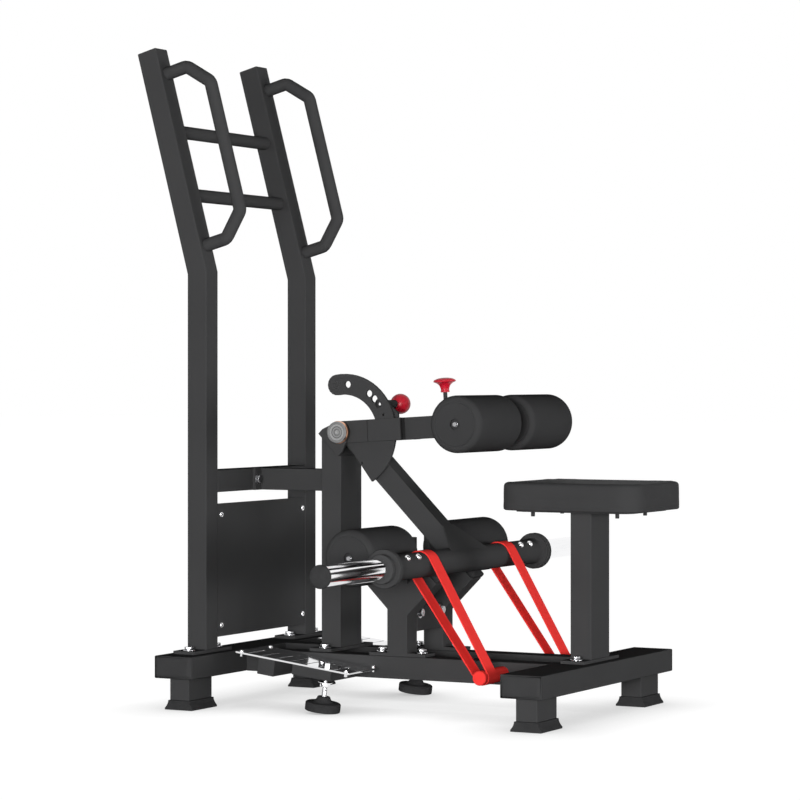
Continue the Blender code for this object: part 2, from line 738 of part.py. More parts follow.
def thrust_washers():
    """A bronze ring on the shaft inside each lug."""
    near = LUG_INNER_Y - SEAT_GAP - WASHER_THICK
    far = near + WASHER_THICK
    bore = SHAFT_RADIUS + BORE_GAP
    ring = [(WASHER_RADIUS, far), (WASHER_RADIUS, near), (bore, near), (bore, far)]
    for side, sign in SIDES:
        where = at(*PIVOT) @ Matrix.Rotation(-sign * math.pi / 2, 4, "X")
        finish(turned(f"thrust_washer_{side}", ring, where, closed=True), BRONZE)


def lever_frame():
    return tilted(PIVOT, LEVER_ANGLE)


def weight_axis():
    return lever_frame() @ Vector((LEVER_LENGTH, 0, 0))


def lever(joint):
    """The slanting tube from the pivot hub to the weight tube, with two fan gussets at its foot."""
    frame = lever_frame()
    half = TUBE / 2
    hub_half = abs(SECTOR_Y) - SECTOR_THICK / 2 - SEAT_GAP
    arm = box("lever_arm", (0, -half, -half), (LEVER_LENGTH, half, half), frame, TUBE_CORNER, along=0)
    hub = rod("hub", HUB_RADIUS, -hub_half, hub_half, frame @ ACROSS)
    flat_half = half - TUBE_CORNER
    spacer = box("spacer", (SPACER_FROM, -hub_half, -flat_half), (SPACER_TO, 0, flat_half), frame)
    fan = [(LEVER_LENGTH - GUSSET_RUN, -half), (LEVER_LENGTH, -GUSSET_HALF),
           (LEVER_LENGTH, GUSSET_HALF), (LEVER_LENGTH - GUSSET_RUN, half)]
    flat = Matrix.Rotation(-math.pi / 2, 4, "X")
    thick = WEIGHT_RADIUS - half
    gussets = []
    for sign in (1, -1):
        lift = at(0, 0, sign * (half + thick / 2 - SEAT_GAP))
        gussets.append(plate("gusset", [fan], thick + SEAT_GAP, frame @ lift @ flat))
    arm = union(arm, hub, spacer, *gussets)
    bore = rod("lever_bore", SHAFT_RADIUS + BORE_GAP, -LUG_INNER_Y, LUG_INNER_Y, frame @ ACROSS)
    cope = rod("lever_cope", WEIGHT_RADIUS + SEAT_GAP, -WEIGHT_HALF, WEIGHT_HALF,
               frame @ at(LEVER_LENGTH, 0, 0) @ ACROSS, sides=28)
    finish(cut(arm, bore, cope), POWDER_COAT, joint)


def sector(joint):
    """The notched plate on the lever's near side that the arm's pull pin locks into."""
    outer = SECTOR_MID_RADIUS + SECTOR_HALF_WIDTH
    inner = SECTOR_MID_RADIUS - SECTOR_HALF_WIDTH
    horn = arc(SECTOR_MID_RADIUS, SECTOR_HORN, SECTOR_HORN, 1)[0]
    outline = arc(outer, SECTOR_TIP, SECTOR_HORN, 26)
    outline += arc(SECTOR_HALF_WIDTH, SECTOR_HORN, SECTOR_HORN + 180, 9, horn)[1:-1]
    outline += arc(inner, SECTOR_HORN, SECTOR_INNER_END, 14)
    outline += arc(HUB_RADIUS, *SECTOR_HUB_ARC, 10)
    outline.append(SECTOR_HEEL)
    holes = [circle(SHAFT_RADIUS + BORE_GAP, steps=ROUND_SIDES)]
    for angle in SECTOR_HOLES:
        holes.append(circle(SECTOR_HOLE_RADIUS, arc(SECTOR_MID_RADIUS, angle, angle, 1)[0], 14))
    holes += [circle(SECTOR_SMALL_HOLE, center, 8) for center in SECTOR_SMALL_HOLES]
    body = plate("sector_plate", [outline, *holes], SECTOR_THICK, at(PIVOT.x, SECTOR_Y, PIVOT.z))
    outward = Matrix.Rotation(math.pi / 2, 4, "X")
    horn_place = at(PIVOT.x + horn[0], SECTOR_Y, PIVOT.z + horn[1]) @ outward
    boss = rod("boss", SECTOR_HOLE_RADIUS, 0, SECTOR_THICK / 2 + SECTOR_BOSS, horn_place, 14)
    finish(union(body, boss), POWDER_COAT, joint)


def weight_profile():
    """The weight tube's outline from the middle of one end in to the plain tube, as (radius, height)."""
    stop = WEIGHT_HALF + FLANGE_THICK
    end = stop + COLLAR_LENGTH
    lip = WEIGHT_HALF + FLANGE_LIP
    back = FLANGE_RADIUS - FLANGE_STEP
    collar = [(0.0, end), (COLLAR_RADIUS - TURNED_EDGE, end), (COLLAR_RADIUS, end - TURNED_EDGE),
              (COLLAR_RADIUS, stop)]
    flange = [(FLANGE_RADIUS - TURNED_EDGE, stop), (FLANGE_RADIUS, stop - TURNED_EDGE), (FLANGE_RADIUS, lip),
              (back, lip), (back, WEIGHT_HALF)]
    weld = [(WEIGHT_RADIUS + WELD_RISE, WEIGHT_HALF),
            (WEIGHT_RADIUS + WELD_RISE / 2, WEIGHT_HALF - WELD_RUN / 3),
            (WEIGHT_RADIUS, WEIGHT_HALF - WELD_RUN)]
    return collar + flange + weld


def weight_tube(joint):
    """The cross tube, turned with its stepped flanges, and its set bolts."""
    axis = weight_axis()
    half = weight_profile()
    profile = half + [(radius, -height) for radius, height in reversed(half)]
    tube = turned("weight_tube", profile, at(*axis) @ ACROSS, steps=28)
    up_front = tilted(axis, math.radians(45))
    outward = Matrix.Rotation(math.pi / 2, 4, "Y")
    sink = 0.002
    bolts = []
    for side, sign in SIDES:
        for y in SET_BOLT_Y:
            place = up_front @ at(WEIGHT_RADIUS - sink, sign * y, 0) @ outward
            bolts.append(rod("set_bolt", SET_BOLT_RADIUS, 0, SET_BOLT_HEIGHT + sink, place, 12))
    finish(union(tube, *bolts), POWDER_COAT, joint)


def weight_sleeves(joint):
    """The plated sleeves that carry the discs, each with a domed rubber cap."""
    axis = weight_axis()
    start = WEIGHT_HALF + FLANGE_THICK + COLLAR_LENGTH + SEAT_GAP
    foot = start + SLEEVE_LENGTH + SEAT_GAP
    tip = foot + SLEEVE_CAP_LENGTH
    dome = [(share * SLEEVE_CAP_RADIUS, tip - depth) for share, depth in SLEEVE_CAP_DOME]
    dome += [(SLEEVE_CAP_RADIUS, foot), (0.0, foot)]
    for side, sign in SIDES:
        out = at(*axis) @ Matrix.Rotation(-sign * math.pi / 2, 4, "X")
        sleeve = rod(f"weight_sleeve_{side}", SLEEVE_RADIUS, start, start + SLEEVE_LENGTH, out, 28)
        finish(sleeve, CHROME, joint)
        finish(turned(f"sleeve_cap_{side}", dome, out), RUBBER, joint)


def arm_frame():
    return tilted(PIVOT, ARM_TILT)


def pull_pin_place():
    """Where the pull pin crosses the arm's own XZ plane: in the sector's first hole."""
    angle = math.radians(SECTOR_HOLES[0]) - ARM_TILT
    return SECTOR_MID_RADIUS * math.cos(angle), SECTOR_MID_RADIUS * math.sin(angle)


def roller_arm(joint):
    """The fork round the lever's hub, its hollow tube and the bracket of the pull pin."""
    frame = arm_frame()
    half = TUBE / 2
    bore = circle(SHAFT_RADIUS + BORE_GAP, steps=ROUND_SIDES)
    hub_end = arc(half, 90, 270, 12)
    pieces = []
    for side, sign in SIDES:
        cheek = [*hub_end, (CHEEK_LENGTH, -half), (CHEEK_LENGTH, half)]
        y = sign * (CHEEK_INNER_Y + CHEEK_THICK / 2)
        pieces.append(plate("cheek", [cheek, bore], CHEEK_THICK, frame @ at(0, y, 0)))
        doubler = [*hub_end, (DOUBLER_LENGTH, -half), (DOUBLER_LENGTH, half)]
        inner = CHEEK_INNER_Y + CHEEK_THICK - 0.001
        outer = CHEEK_INNER_Y + CHEEK_THICK + DOUBLER_THICK - SEAT_GAP
        middle = frame @ at(0, sign * (inner + outer) / 2, 0)
        pieces.append(plate("doubler", [doubler, bore], outer - inner, middle))
    bridge_reach = CHEEK_INNER_Y + CHEEK_THICK / 2
    bridge = box("bridge", (BRIDGE_FROM, -bridge_reach, -half + 0.0005),
                 (CHEEK_LENGTH - 0.0005, bridge_reach, half - 0.0005), frame)
    arm = box("roller_arm", (BRIDGE_FROM + 0.002, -half, -half), (ARM_END, half, half), frame,
              TUBE_CORNER, along=0)
    pin_x, pin_z = pull_pin_place()
    edge = BRIDGE_FROM - PULL_TAB_BACK
    front, low, high = CHEEK_LENGTH - 0.002, half - PLATE, half - 0.001
    tab = [(edge - half, low), (front, low), (front, high), (edge, high), (edge, high + PULL_TAB_RISE),
           *arc(PULL_TAB_RADIUS, *PULL_TAB_ARC, 12, (pin_x, pin_z))]
    tab_y = PULL_SLEEVE_FROM + PLATE / 2
    bracket = plate("tab", [tab], PLATE, frame @ at(0, tab_y, 0))
    across = frame @ at(pin_x, 0, pin_z) @ ACROSS
    sleeve = rod("sleeve", PULL_SLEEVE_RADIUS, PULL_SLEEVE_FROM + 0.0005, PULL_SLEEVE_TO, across)
    barrel_at = frame @ at(HEAD_PIN_AT, 0, half)
    barrel = rod("barrel", BARREL_RADIUS, -0.001, BARREL_HEIGHT, barrel_at, 16)
    nut = hex_head("nut", barrel_at, BARREL_NUT_HEIGHT, BARREL_NUT_FLATS)
    arm = union(arm, bridge, *pieces, bracket, sleeve, barrel, nut)
    hollow = half - ARM_WALL
    socket = box("head_socket", (ARM_BORE_FROM, -hollow, -hollow), (ARM_END + BEYOND, hollow, hollow), frame)
    pin_bore = rod("pull_pin_bore", PULL_PIN_RADIUS + BORE_GAP, PULL_SLEEVE_FROM - BEYOND,
                   PULL_SLEEVE_TO + BEYOND, across, 16)
    head_bore = rod("head_pin_bore", HEAD_PIN_RADIUS + BORE_GAP, -half, BARREL_HEIGHT + BEYOND, barrel_at, 16)
    finish(cut(arm, socket, pin_bore, head_bore), POWDER_COAT, joint)


def pull_pin(joint):
    """The plated plunger in the arm's bracket, drawn clear of the sector, with its ball knob."""
    pin_x, pin_z = pull_pin_place()
    across = arm_frame() @ at(pin_x, 0, pin_z) @ ACROSS
    inside = BALL_Y - BALL_RADIUS / 2
    profile = [(0.0, inside), (PULL_PIN_RADIUS, inside), (PULL_PIN_RADIUS, PULL_TIP_Y + PULL_POINT),
               (PULL_PIN_RADIUS - PULL_POINT, PULL_TIP_Y), (0.0, PULL_TIP_Y)]
    finish(turned("pull_pin", profile, across, 16), CHROME, joint)
    rings = 10
    turns = [math.pi * k / rings for k in range(rings + 1)]
    ball = [(BALL_RADIUS * math.sin(turn), BALL_Y + BALL_RADIUS * math.cos(turn)) for turn in turns]
    knob = turned("pull_knob", ball, across, 18)
    socket = rod("pull_knob_socket", PULL_PIN_RADIUS + SEAT_GAP, 0, inside + SEAT_GAP, across, 16)
    finish(cut(knob, socket), KNOB_RED, joint)


def head_pin(joint):
    """The upright plunger over the telescopic head's holes, drawn clear, with its mushroom knob."""
    where = arm_frame() @ at(HEAD_PIN_AT, 0, 0)
    tip = TUBE / 2 - ARM_WALL - SLIDE_GAP + SEAT_GAP
    inside = KNOB_START + 0.015
    profile = [(0.0, inside), (HEAD_PIN_RADIUS, inside), (HEAD_PIN_RADIUS, tip), (0.0, tip)]
    finish(turned("head_pin", profile, where, 16), CHROME, joint)
    knob = [(KNOB_DISC * across, KNOB_START + KNOB_HEIGHT * up) for across, up in KNOB_CAP]
    knob += [(KNOB_STEM * across, KNOB_START + KNOB_HEIGHT * up) for across, up in KNOB_NECK]
    knob.append((0.0, KNOB_START))
    mushroom = turned("head_knob", knob, where, 18)
    socket = rod("head_knob_socket", HEAD_PIN_RADIUS + SEAT_GAP, 0, inside + SEAT_GAP, where, 16)
    finish(cut(mushroom, socket), KNOB_RED, joint)


def roller_head(joint):
    """The square tube that slides in the arm and carries the upper axle."""
    frame = arm_frame()
    half = TUBE / 2 - ARM_WALL - SLIDE_GAP
    head = box("roller_head", (HEAD_FROM, -half, -half), (ROLLER_AT + HEAD_BEYOND, half, half), frame,
               TUBE_CORNER / 2, along=0)
    axle_at = frame @ at(ROLLER_AT, 0, 0)
    cutters = [rod("upper_axle_bore", AXLE_RADIUS + BORE_GAP, -TUBE, TUBE, axle_at @ ACROSS)]
    deep = -HEAD_PIN_TRAVEL - 0.001
    for k in range(HEAD_PIN_HOLES):
        where = frame @ at(HEAD_PIN_AT - k * HEAD_PIN_PITCH, 0, half)
        cutters.append(rod(f"head_hole_{k}", HEAD_PIN_RADIUS + BORE_GAP, deep, BEYOND, where, 16))
    finish(cut(head, *cutters), POWDER_COAT, joint)
    reach = ROLLER_INNER_Y + ROLLER_LENGTH
    axle("upper_roller_axle", axle_at, -reach, reach, joint)


def axle(name, where, start, end, joint=None):
    """A shaft along Y; each end that reaches a roller's outer face has a washer and a bolt in the recess."""
    sink = ROLLER_RECESS_DEPTH - SEAT_GAP
    reach = max(abs(start), abs(end)) - AXLE_SHOULDER
    tips = [(sign, abs(y) - sink) for sign, y in ((-1, start), (1, end)) if abs(y) > reach]
    low = start + sink if abs(start) > reach else start
    high = end - sink if abs(end) > reach else end
    shaft = rod(name, AXLE_RADIUS, low, high, where @ ACROSS)
    ends = []
    for sign, face in tips:
        out = where @ Matrix.Rotation(-sign * math.pi / 2, 4, "X")
        ends.append(rod("washer", AXLE_WASHER_RADIUS, face, face + AXLE_WASHER_THICK, out, 16))
        bolt_at = out @ at(0, 0, face + AXLE_WASHER_THICK)
        ends.append(hex_head("bolt", bolt_at, AXLE_BOLT_HEIGHT, 2 * AXLE_BOLT_RADIUS))
    finish(union(shaft, *ends), ZINC, joint)


def roller(name, where, sign, inner, joint):
    """A foam roller: flat ends, rounded shoulders and a recess round the end bolt."""
    bore = AXLE_RADIUS + BORE_GAP
    outer = inner + ROLLER_LENGTH
    drop = ROLLER_RADIUS - ROLLER_FACE
    turn = [math.radians(90 - 90 * k / 4) for k in range(5)]
    shoulder = [(ROLLER_FACE + drop * math.cos(a), outer - ROLLER_ROUND * (1 - math.sin(a))) for a in turn]
    heel = [(radius, inner + outer - y) for radius, y in reversed(shoulder)]
    recess = outer - ROLLER_RECESS_DEPTH
    profile = [(ROLLER_RECESS_RADIUS, recess), (ROLLER_RECESS_RADIUS, outer), *shoulder, *heel,
               (bore, inner), (bore, recess)]
    out = where @ Matrix.Rotation(-sign * math.pi / 2, 4, "X")
    finish(turned(name, profile, out, closed=True), FOAM, joint)


def lower_posts():
    """Two posts on the side beams; each has a forward branch with a bumper and a rear branch."""
    half = TUBE / 2
    axis = weight_axis()
    slant = math.radians(45)
    rest = WEIGHT_RADIUS + SEAT_GAP
    for side, sign in SIDES:
        y = sign * BEAM_Y
        post = box(f"lower_post_{side}", (POST_X - half, y - half, FLOOR_PLATE_TOP - PLATE / 2),
                   (POST_X + half, y + half, POST_TOP), corner=TUBE_CORNER, along=2)
        inside = half - 0.0004
        toward = tilted((axis.x, y, axis.z), slant) @ at(0, 0, -FRONT_BRANCH_DROP)
        reach = (axis.x - POST_X) * math.sqrt(2)
        stop = -rest - BUMPER
        front = box("front_branch", (-reach, -inside, -half), (stop - SEAT_GAP, inside, half), toward,
                    TUBE_CORNER, along=0)
        rear_start = Vector((POST_X, y, REAR_BRANCH_RISE - POST_X))
        rear = box("rear_branch", (0, -inside, -half), (REAR_BRANCH_LENGTH, inside, half),
                   tilted(rear_start, math.pi - slant), TUBE_CORNER, along=0)
        base = box("base", (POST_X - POST_PLATE_X / 2, y - half, DECK + SEAT_GAP),
                   (POST_X + POST_PLATE_X / 2, y + half, FLOOR_PLATE_TOP))
        bolts = floor_bolts([(POST_X + step, y) for step in (-POST_BOLT_X, POST_BOLT_X)])
        bore = rod(f"lower_axle_bore_{side}", AXLE_RADIUS + BORE_GAP, y - TUBE, y + TUBE,
                   at(POST_X, 0, LOWER_AXLE_Z) @ ACROSS)
        finish(cut(union(post, front, rear, base, *bolts), bore), POWDER_COAT)
        bumper = box(f"stop_bumper_{side}", (stop, -inside, -half), (-rest, inside, half), toward)
        round_edges(bumper, 0.004)
        finish(bumper, RUBBER)
    tie_reach = BEAM_Y - half - SEAT_GAP
    face = POST_X + half
    tie = box("post_tie", (face - PLATE, -tie_reach, TIE_BOTTOM), (face, tie_reach, TIE_BOTTOM + TIE_HEIGHT))
    forward = Matrix.Rotation(math.pi / 2, 4, "Y")
    bolts = [hex_head("bolt", at(face, s * TIE_BOLT_Y, TIE_BOTTOM + TIE_BOLT_UP) @ forward,
                      TIE_BOLT_HEAD, TIE_BOLT_FLATS) for side, s in SIDES]
    finish(union(tie, *bolts), POWDER_COAT)


def lower_rollers():
    inner = BEAM_Y + TUBE / 2 + LOWER_ROLLER_GAP
    where = at(POST_X, 0, LOWER_AXLE_Z)
    for side, sign in SIDES:
        start, end = sorted((sign * (BEAM_Y - TUBE / 2), sign * (inner + ROLLER_LENGTH)))
        axle(f"lower_axle_{side}", where, start, end)
        joint = joint_empty(f"lower_roller_{side}_axis", where)
        roller(f"lower_roller_{side}", where, sign, inner, joint)


def belt(first, first_radius, second, second_radius, steps):
    """The closed outline of a belt round two circles."""
    across = Vector(second) - Vector(first)
    heading = math.degrees(math.atan2(across.y, across.x))
    spread = math.degrees(math.acos((first_radius - second_radius) / across.length))
    near = arc(first_radius, heading + spread, heading + 360 - spread, steps, first)
    far = arc(second_radius, heading - spread, heading + spread, steps, second)
    return near + far


def bands():
    """A flat rubber loop on each side, from the weight tube down to its peg."""
    axis = weight_axis()
    top = (axis.x, axis.z)
    peg = (PEG_X, BEAM_BOTTOM + TUBE / 2)
    inner = SEAT_GAP
    outer = SEAT_GAP + BAND_THICK
    for side, sign in SIDES:
        loops = [belt(top, WEIGHT_RADIUS + gap, peg, PEG_RADIUS + gap, 14) for gap in (outer, inner)]
        band = plate(f"band_{side}", loops, BAND_WIDTH, at(0, sign * BAND_Y, 0))
        finish(band, BAND_RED)


def foot_plates():
    """Slotted tread plates that slope down toward the seat, bolted at their corners."""
    frame = step_frame()
    bottom = -STEP_THICK
    stand = Matrix.Rotation(-math.pi / 2, 4, "X")
    for side, sign in SIDES:
        near, far = (sign * (STEP_INNER_Y + y) for y in (0, STEP_WIDTH))
        outline = [(0, near), (STEP_LENGTH, near), (STEP_LENGTH, far), (0, far)]
        slots = []
        low, high = (sign * (STEP_INNER_Y + y) for y in STEP_SLOT_SIDES)
        for k in range(STEP_SLOTS):
            x = STEP_SLOT_FROM + STEP_SLOT_PITCH * k
            slots.append([(x, low), (x + STEP_SLOT_WIDTH, low), (x + STEP_SLOT_WIDTH, high), (x, high)])
        middle = frame @ at(0, 0, bottom / 2) @ stand
        tread = plate(f"foot_plate_{side}", [outline, *slots], STEP_THICK, middle)
        extras = []
        for x in (STEP_BOLT_END, STEP_LENGTH - STEP_BOLT_END):
            for y in (near + sign * STEP_BOLT_SIDE, far - sign * STEP_BOLT_SIDE):
                extras.append(rod("bolt", STEP_BOLT_RADIUS, bottom - STEP_BOLT_BELOW, STEP_BOLT_HEAD,
                                  frame @ at(x, y, 0), 8))
        lock = levelling_frame(sign)
        top = step_height() + STEP_THICK
        extras.append(hex_head("lock_nut", lock @ at(0, 0, top), STUD_NUT_HEIGHT))
        tread = union(tread, *extras)
        hole = rod(f"lock_hole_{side}", STUD_RADIUS + BORE_GAP, top - 2 * BEYOND, top + 2 * BEYOND, lock, 16)
        finish(cut(tread, hole), STEEL_TREAD)


def levelling_frame(sign):
    """A frame at the foot of a levelling screw, square to the sloping foot plate."""
    edge = LEVEL_DISC_RADIUS * math.sin(-STEP_SLOPE)
    return tilted((LEVEL_X, sign * LEVEL_Y, edge), STEP_SLOPE)


def step_height():
    """The height of the foot plate's underside on the levelling screw."""
    foot = step_frame().inverted() @ levelling_frame(1).translation
    return -STEP_THICK - foot.z


def levelling_feet():
    """A rubber disc and hub on a threaded stud through each front bracket and foot plate."""
    for side, sign in SIDES:
        where = levelling_frame(sign)
        joint = joint_empty(f"levelling_foot_{side}_axis", where)
        disc, hub = LEVEL_DISC_HEIGHT, LEVEL_HUB_HEIGHT
        top = step_height() + STEP_THICK + STUD_ABOVE
        profile = [(0.0, top), (STUD_RADIUS, top), (STUD_RADIUS, hub), (LEVEL_HUB_TOP - 0.002, hub),
                   (LEVEL_HUB_TOP, hub - 0.002), (LEVEL_HUB_BASE, disc + 0.001),
                   (LEVEL_DISC_RADIUS - 0.003, disc), (LEVEL_DISC_RADIUS, disc - 0.003),
                   (LEVEL_DISC_RADIUS, 0.0), (0.0, 0.0)]
        finish(turned(f"levelling_foot_{side}", profile, where, 20), RUBBER, joint)


def seat():
    x = FRONT_X
    half_x, half_y = TUBE / 2, WIDE_TUBE / 2
    foot = FLOOR_PLATE_TOP - PLATE / 2
    post = box("seat_post", (x - half_x, -half_y, foot), (x + half_x, half_y, SEAT_POST_TOP),
               corner=TUBE_CORNER, along=2)
    base = floor_plate("base", x, 0, MAST_PLATE_X, SEAT_PLATE_Y)
    bolts = floor_bolts([(x, sign * SEAT_BOLT_Y) for side, sign in SIDES])
    finish(union(post, base, *bolts), POWDER_COAT)

    bottom = SEAT_POST_TOP + SEAT_GAP
    board_x, board_y = SEAT_LENGTH_X / 2 - BOARD_INSET, SEAT_LENGTH_Y / 2 - BOARD_INSET
    board = box("seat_board", (SEAT_X - board_x, -board_y, bottom),
                (SEAT_X + board_x, board_y, bottom + PLATE), corner=BOARD_CORNER, along=2)
    studs = [rod("stud", SEAT_STUD_RADIUS, bottom - SEAT_STUD_DROP, bottom + PLATE / 2,
                 at(x - SEAT_STUD_BACK + along * SEAT_STUD_X, sign * SEAT_STUD_Y, 0), 8)
             for along in (-1, 1) for side, sign in SIDES]
    finish(union(board, *studs), BLACK_PLASTIC)
    cushion(bottom + PLATE + SEAT_GAP)


def plan_steps(half):
    """Where the cage's lines cross half a side, as shares: they frame the round corner and its middle."""
    halfway = 1 - math.tan(math.pi / 8)
    return {0.0: 0.0, 0.33: 1 - SEAT_CORNER / half, 0.67: 1 - SEAT_CORNER * halfway / half, 1.0: 1.0}


def round_corner(x, y, half_x, half_y):
    """Moves a point of the squared plan onto the ring with round corners that it belongs to."""
    ring = max(abs(x) / half_x, abs(y) / half_y)
    center = Vector((ring * (half_x - SEAT_CORNER), ring * (half_y - SEAT_CORNER)))
    out = Vector((abs(x), abs(y))) - center
    if min(out) > 0:
        out = out.normalized() * max(out)
    out += center
    return math.copysign(out.x, x), math.copysign(out.y, y)


def cushion(bottom):
    """A pad with round corners, a crowned top and sides that are drawn in at mid height."""
    work = bmesh.new()
    bmesh.ops.create_cube(work, size=2.0)
    bmesh.ops.subdivide_edges(work, edges=work.edges, cuts=5, use_grid_fill=True)
    half_x, half_y = SEAT_LENGTH_X / 2 + SEAT_DRAW_IN, SEAT_LENGTH_Y / 2 + SEAT_DRAW_IN
    half_z = SEAT_THICK / 2
    steps_x, steps_y = plan_steps(half_x), plan_steps(half_y)
    tall = {0.0: 0.0, 0.33: 0.45, 0.67: 0.80, 1.0: 1.0}
    for vert in work.verts:
        u, v, w = (round(c, 2) for c in vert.co)
        draw = SEAT_DRAW_IN * (1 - w * w)
        x = math.copysign(steps_x[abs(u)] * (half_x - draw), u)
        y = math.copysign(steps_y[abs(v)] * (half_y - draw), v)
        x, y = round_corner(x, y, half_x - draw, half_y - draw)
        z = math.copysign(tall[abs(w)] * half_z, w)
        if w > 0.9:
            z += SEAT_CROWN * ((1 - u * u) * (1 - v * v) - SEAT_EDGE_FALL)
        vert.co = (x, y, z)
    pad = mesh_object("seat_cushion", work, at(SEAT_X, 0, bottom + half_z))
    soft = pad.modifiers.new("Soft", "SUBSURF")
    soft.levels = 1
    soft.render_levels = 1
    finish(pad, UPHOLSTERY)


def moving_parts():
    """The lever turns on the pivot; the roller arm turns on the same shaft and locks to the lever."""
    lever_joint = joint_empty("lever_axis", lever_frame())
    pivot_shaft(lever_joint)
    lever(lever_joint)
    sector(lever_joint)
    weight_tube(lever_joint)
    weight_sleeves(lever_joint)
    arm_joint = joint_empty("roller_arm_axis", arm_frame(), lever_joint)
    roller_arm(arm_joint)
    pin_x, pin_z = pull_pin_place()
    pull_joint = joint_empty("pull_pin_axis", arm_frame() @ at(pin_x, 0, pin_z), arm_joint)
    pull_pin(pull_joint)
    head_pin_joint = joint_empty("head_pin_axis", arm_frame() @ at(HEAD_PIN_AT, 0, 0), arm_joint)
    head_pin(head_pin_joint)
    head_joint = joint_empty("roller_head_axis", arm_frame() @ at(HEAD_FROM, 0, 0), arm_joint)
    roller_head(head_joint)
    for side, sign in SIDES:
        where = arm_frame() @ at(ROLLER_AT, 0, 0)
        joint = joint_empty(f"upper_roller_{side}_axis", where, head_joint)
        roller(f"upper_roller_{side}", where, sign, ROLLER_INNER_Y, joint)


def main():
    base_frame()
    masts()
    rear_bars()
    center_post()
    clevis()
    thrust_washers()
    moving_parts()
    lower_posts()
    lower_rollers()
    bands()
    foot_plates()
    levelling_feet()
    seat()
    bpy.context.view_layer.update()


main()
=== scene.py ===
"""Standing hip thrust machine: its finishes, soft pieces, fastenings and studio.

Laid out as a Blender add-on and run as a script. Metres, +Z up, +X from the masts to the seat,
+Y to the machine's left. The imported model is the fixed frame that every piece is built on.
"""

import json
import math

import bpy
from bpy.props import FloatProperty, FloatVectorProperty, IntProperty, PointerProperty
from mathutils import Matrix, Vector


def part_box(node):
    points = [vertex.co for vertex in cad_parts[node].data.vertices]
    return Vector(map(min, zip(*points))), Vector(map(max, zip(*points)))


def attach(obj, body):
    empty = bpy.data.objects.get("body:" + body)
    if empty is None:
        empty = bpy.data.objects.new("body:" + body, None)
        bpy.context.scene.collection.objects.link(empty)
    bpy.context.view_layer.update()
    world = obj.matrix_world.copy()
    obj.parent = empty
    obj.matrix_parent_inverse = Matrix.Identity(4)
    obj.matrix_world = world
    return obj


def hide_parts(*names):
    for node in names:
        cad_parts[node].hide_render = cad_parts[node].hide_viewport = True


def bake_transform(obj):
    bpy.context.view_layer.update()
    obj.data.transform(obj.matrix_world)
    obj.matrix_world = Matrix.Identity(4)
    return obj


bl_info = {
    "name": "Standing Hip Thrust Machine",
    "version": (1, 0, 0),
    "blender": (4, 5, 0),
    "location": "3D View > Sidebar > Machine",
    "description": "Finishes, soft pieces, fastenings and studio of a standing hip thrust machine",
    "category": "Object",
}

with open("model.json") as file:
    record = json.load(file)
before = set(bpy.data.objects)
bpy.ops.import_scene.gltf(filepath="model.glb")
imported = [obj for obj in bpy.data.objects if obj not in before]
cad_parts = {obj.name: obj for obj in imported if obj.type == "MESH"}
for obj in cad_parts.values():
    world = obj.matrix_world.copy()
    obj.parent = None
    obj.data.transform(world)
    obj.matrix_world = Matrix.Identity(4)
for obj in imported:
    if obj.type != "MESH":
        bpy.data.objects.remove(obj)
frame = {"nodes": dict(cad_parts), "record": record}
NODES = frame["nodes"]
BODIES = frame["record"]["behaviour"]["bodies"]
BODY_OF = {node: body for body, nodes in BODIES.items() for node in nodes}
SLOT_OF = {part["node"]: part["material_slot"] for part in frame["record"]["subparts"]}
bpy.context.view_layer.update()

SIDES = (("left", 1), ("right", -1))
SIGNS = (1, -1)
GAP = 0.0003  # between pieces that rest on each other

# Nodes that steel_frame leaves to other operators, and bevels by the start of a node's name
SIDED = ("band", "upper_roller", "lower_roller", "lower_axle", "weight_sleeve", "sleeve_cap",
         "levelling_foot")
OTHERS = {"seat_cushion", "pull_pin", "pull_knob", "head_pin", "head_knob", "pivot_shaft",
          "upper_roller_axle"}
OTHERS |= {f"{piece}_{side}" for piece in SIDED for side, sign in SIDES}
BEVELS = {"foot_plate": 0.0004, "rear_panel": 0.0005, "thrust_washer": 0.0003, "weight_tube": 0.0005,
          "sector_plate": 0.0006, "end_cap": 0.0024}
WELD = 0.00001  # points this close are one

# Seat cushion
SEAT_CUTS = 31
SEAT_BULGE = 0.0012  # how far the sides stand out at half height
SEAT_LOWER_EDGE = 0.003
SEAT_RIM_WIDTH = 0.024
SEAT_RIM_FADE = 0.006
SEAT_CROWN_RISE = 0.05  # the crown starts at the edge and is whole this far in
SWELL_LIMIT = 0.0012
SWELL_FRAMES = 16

# Lever, weight tube and sleeves
PIVOT = Vector((-0.173, 0.0, 0.659))
LEVER_ANGLE = math.radians(-45)
LEVER_LENGTH = 0.427
WEIGHT_RADIUS = 0.030
SET_SCREWS_Y = (0.270, 0.322)
SLEEVE_START = 0.4143
SLEEVE_LENGTH = 0.268
SLEEVE_RADIUS = 0.025
SLEEVE_CAP_RADIUS = 0.0265
SLEEVE_CAP_LENGTH = 0.010
SLEEVE_CAP_FLAT = 0.012

# Pivot shaft; heights are from the middle of the machine
SHAFT_RADIUS = 0.0125
SHAFT_FACE = 0.0683  # outer face of the lugs
SHAFT_TOP = 0.0808
COLLAR_TOP = 0.0760
COLLAR_RADIUS = 0.0272
# The turned face of a cap, from its middle out: radius, and depth below the highest ring
SHAFT_CAP = ((0.0, 0.0006), (0.0026, 0.0006), (0.0034, 0.0016), (0.0062, 0.0016), (0.0070, 0.0006),
             (0.0102, 0.0006), (0.0110, 0.0018), (0.0142, 0.0018), (0.0150, 0.0008), (0.0208, 0.0008),
             (0.0216, 0.0016), (0.0228, 0.0016), (0.0236, 0.0), (0.0252, 0.0), (0.0262, 0.0010))

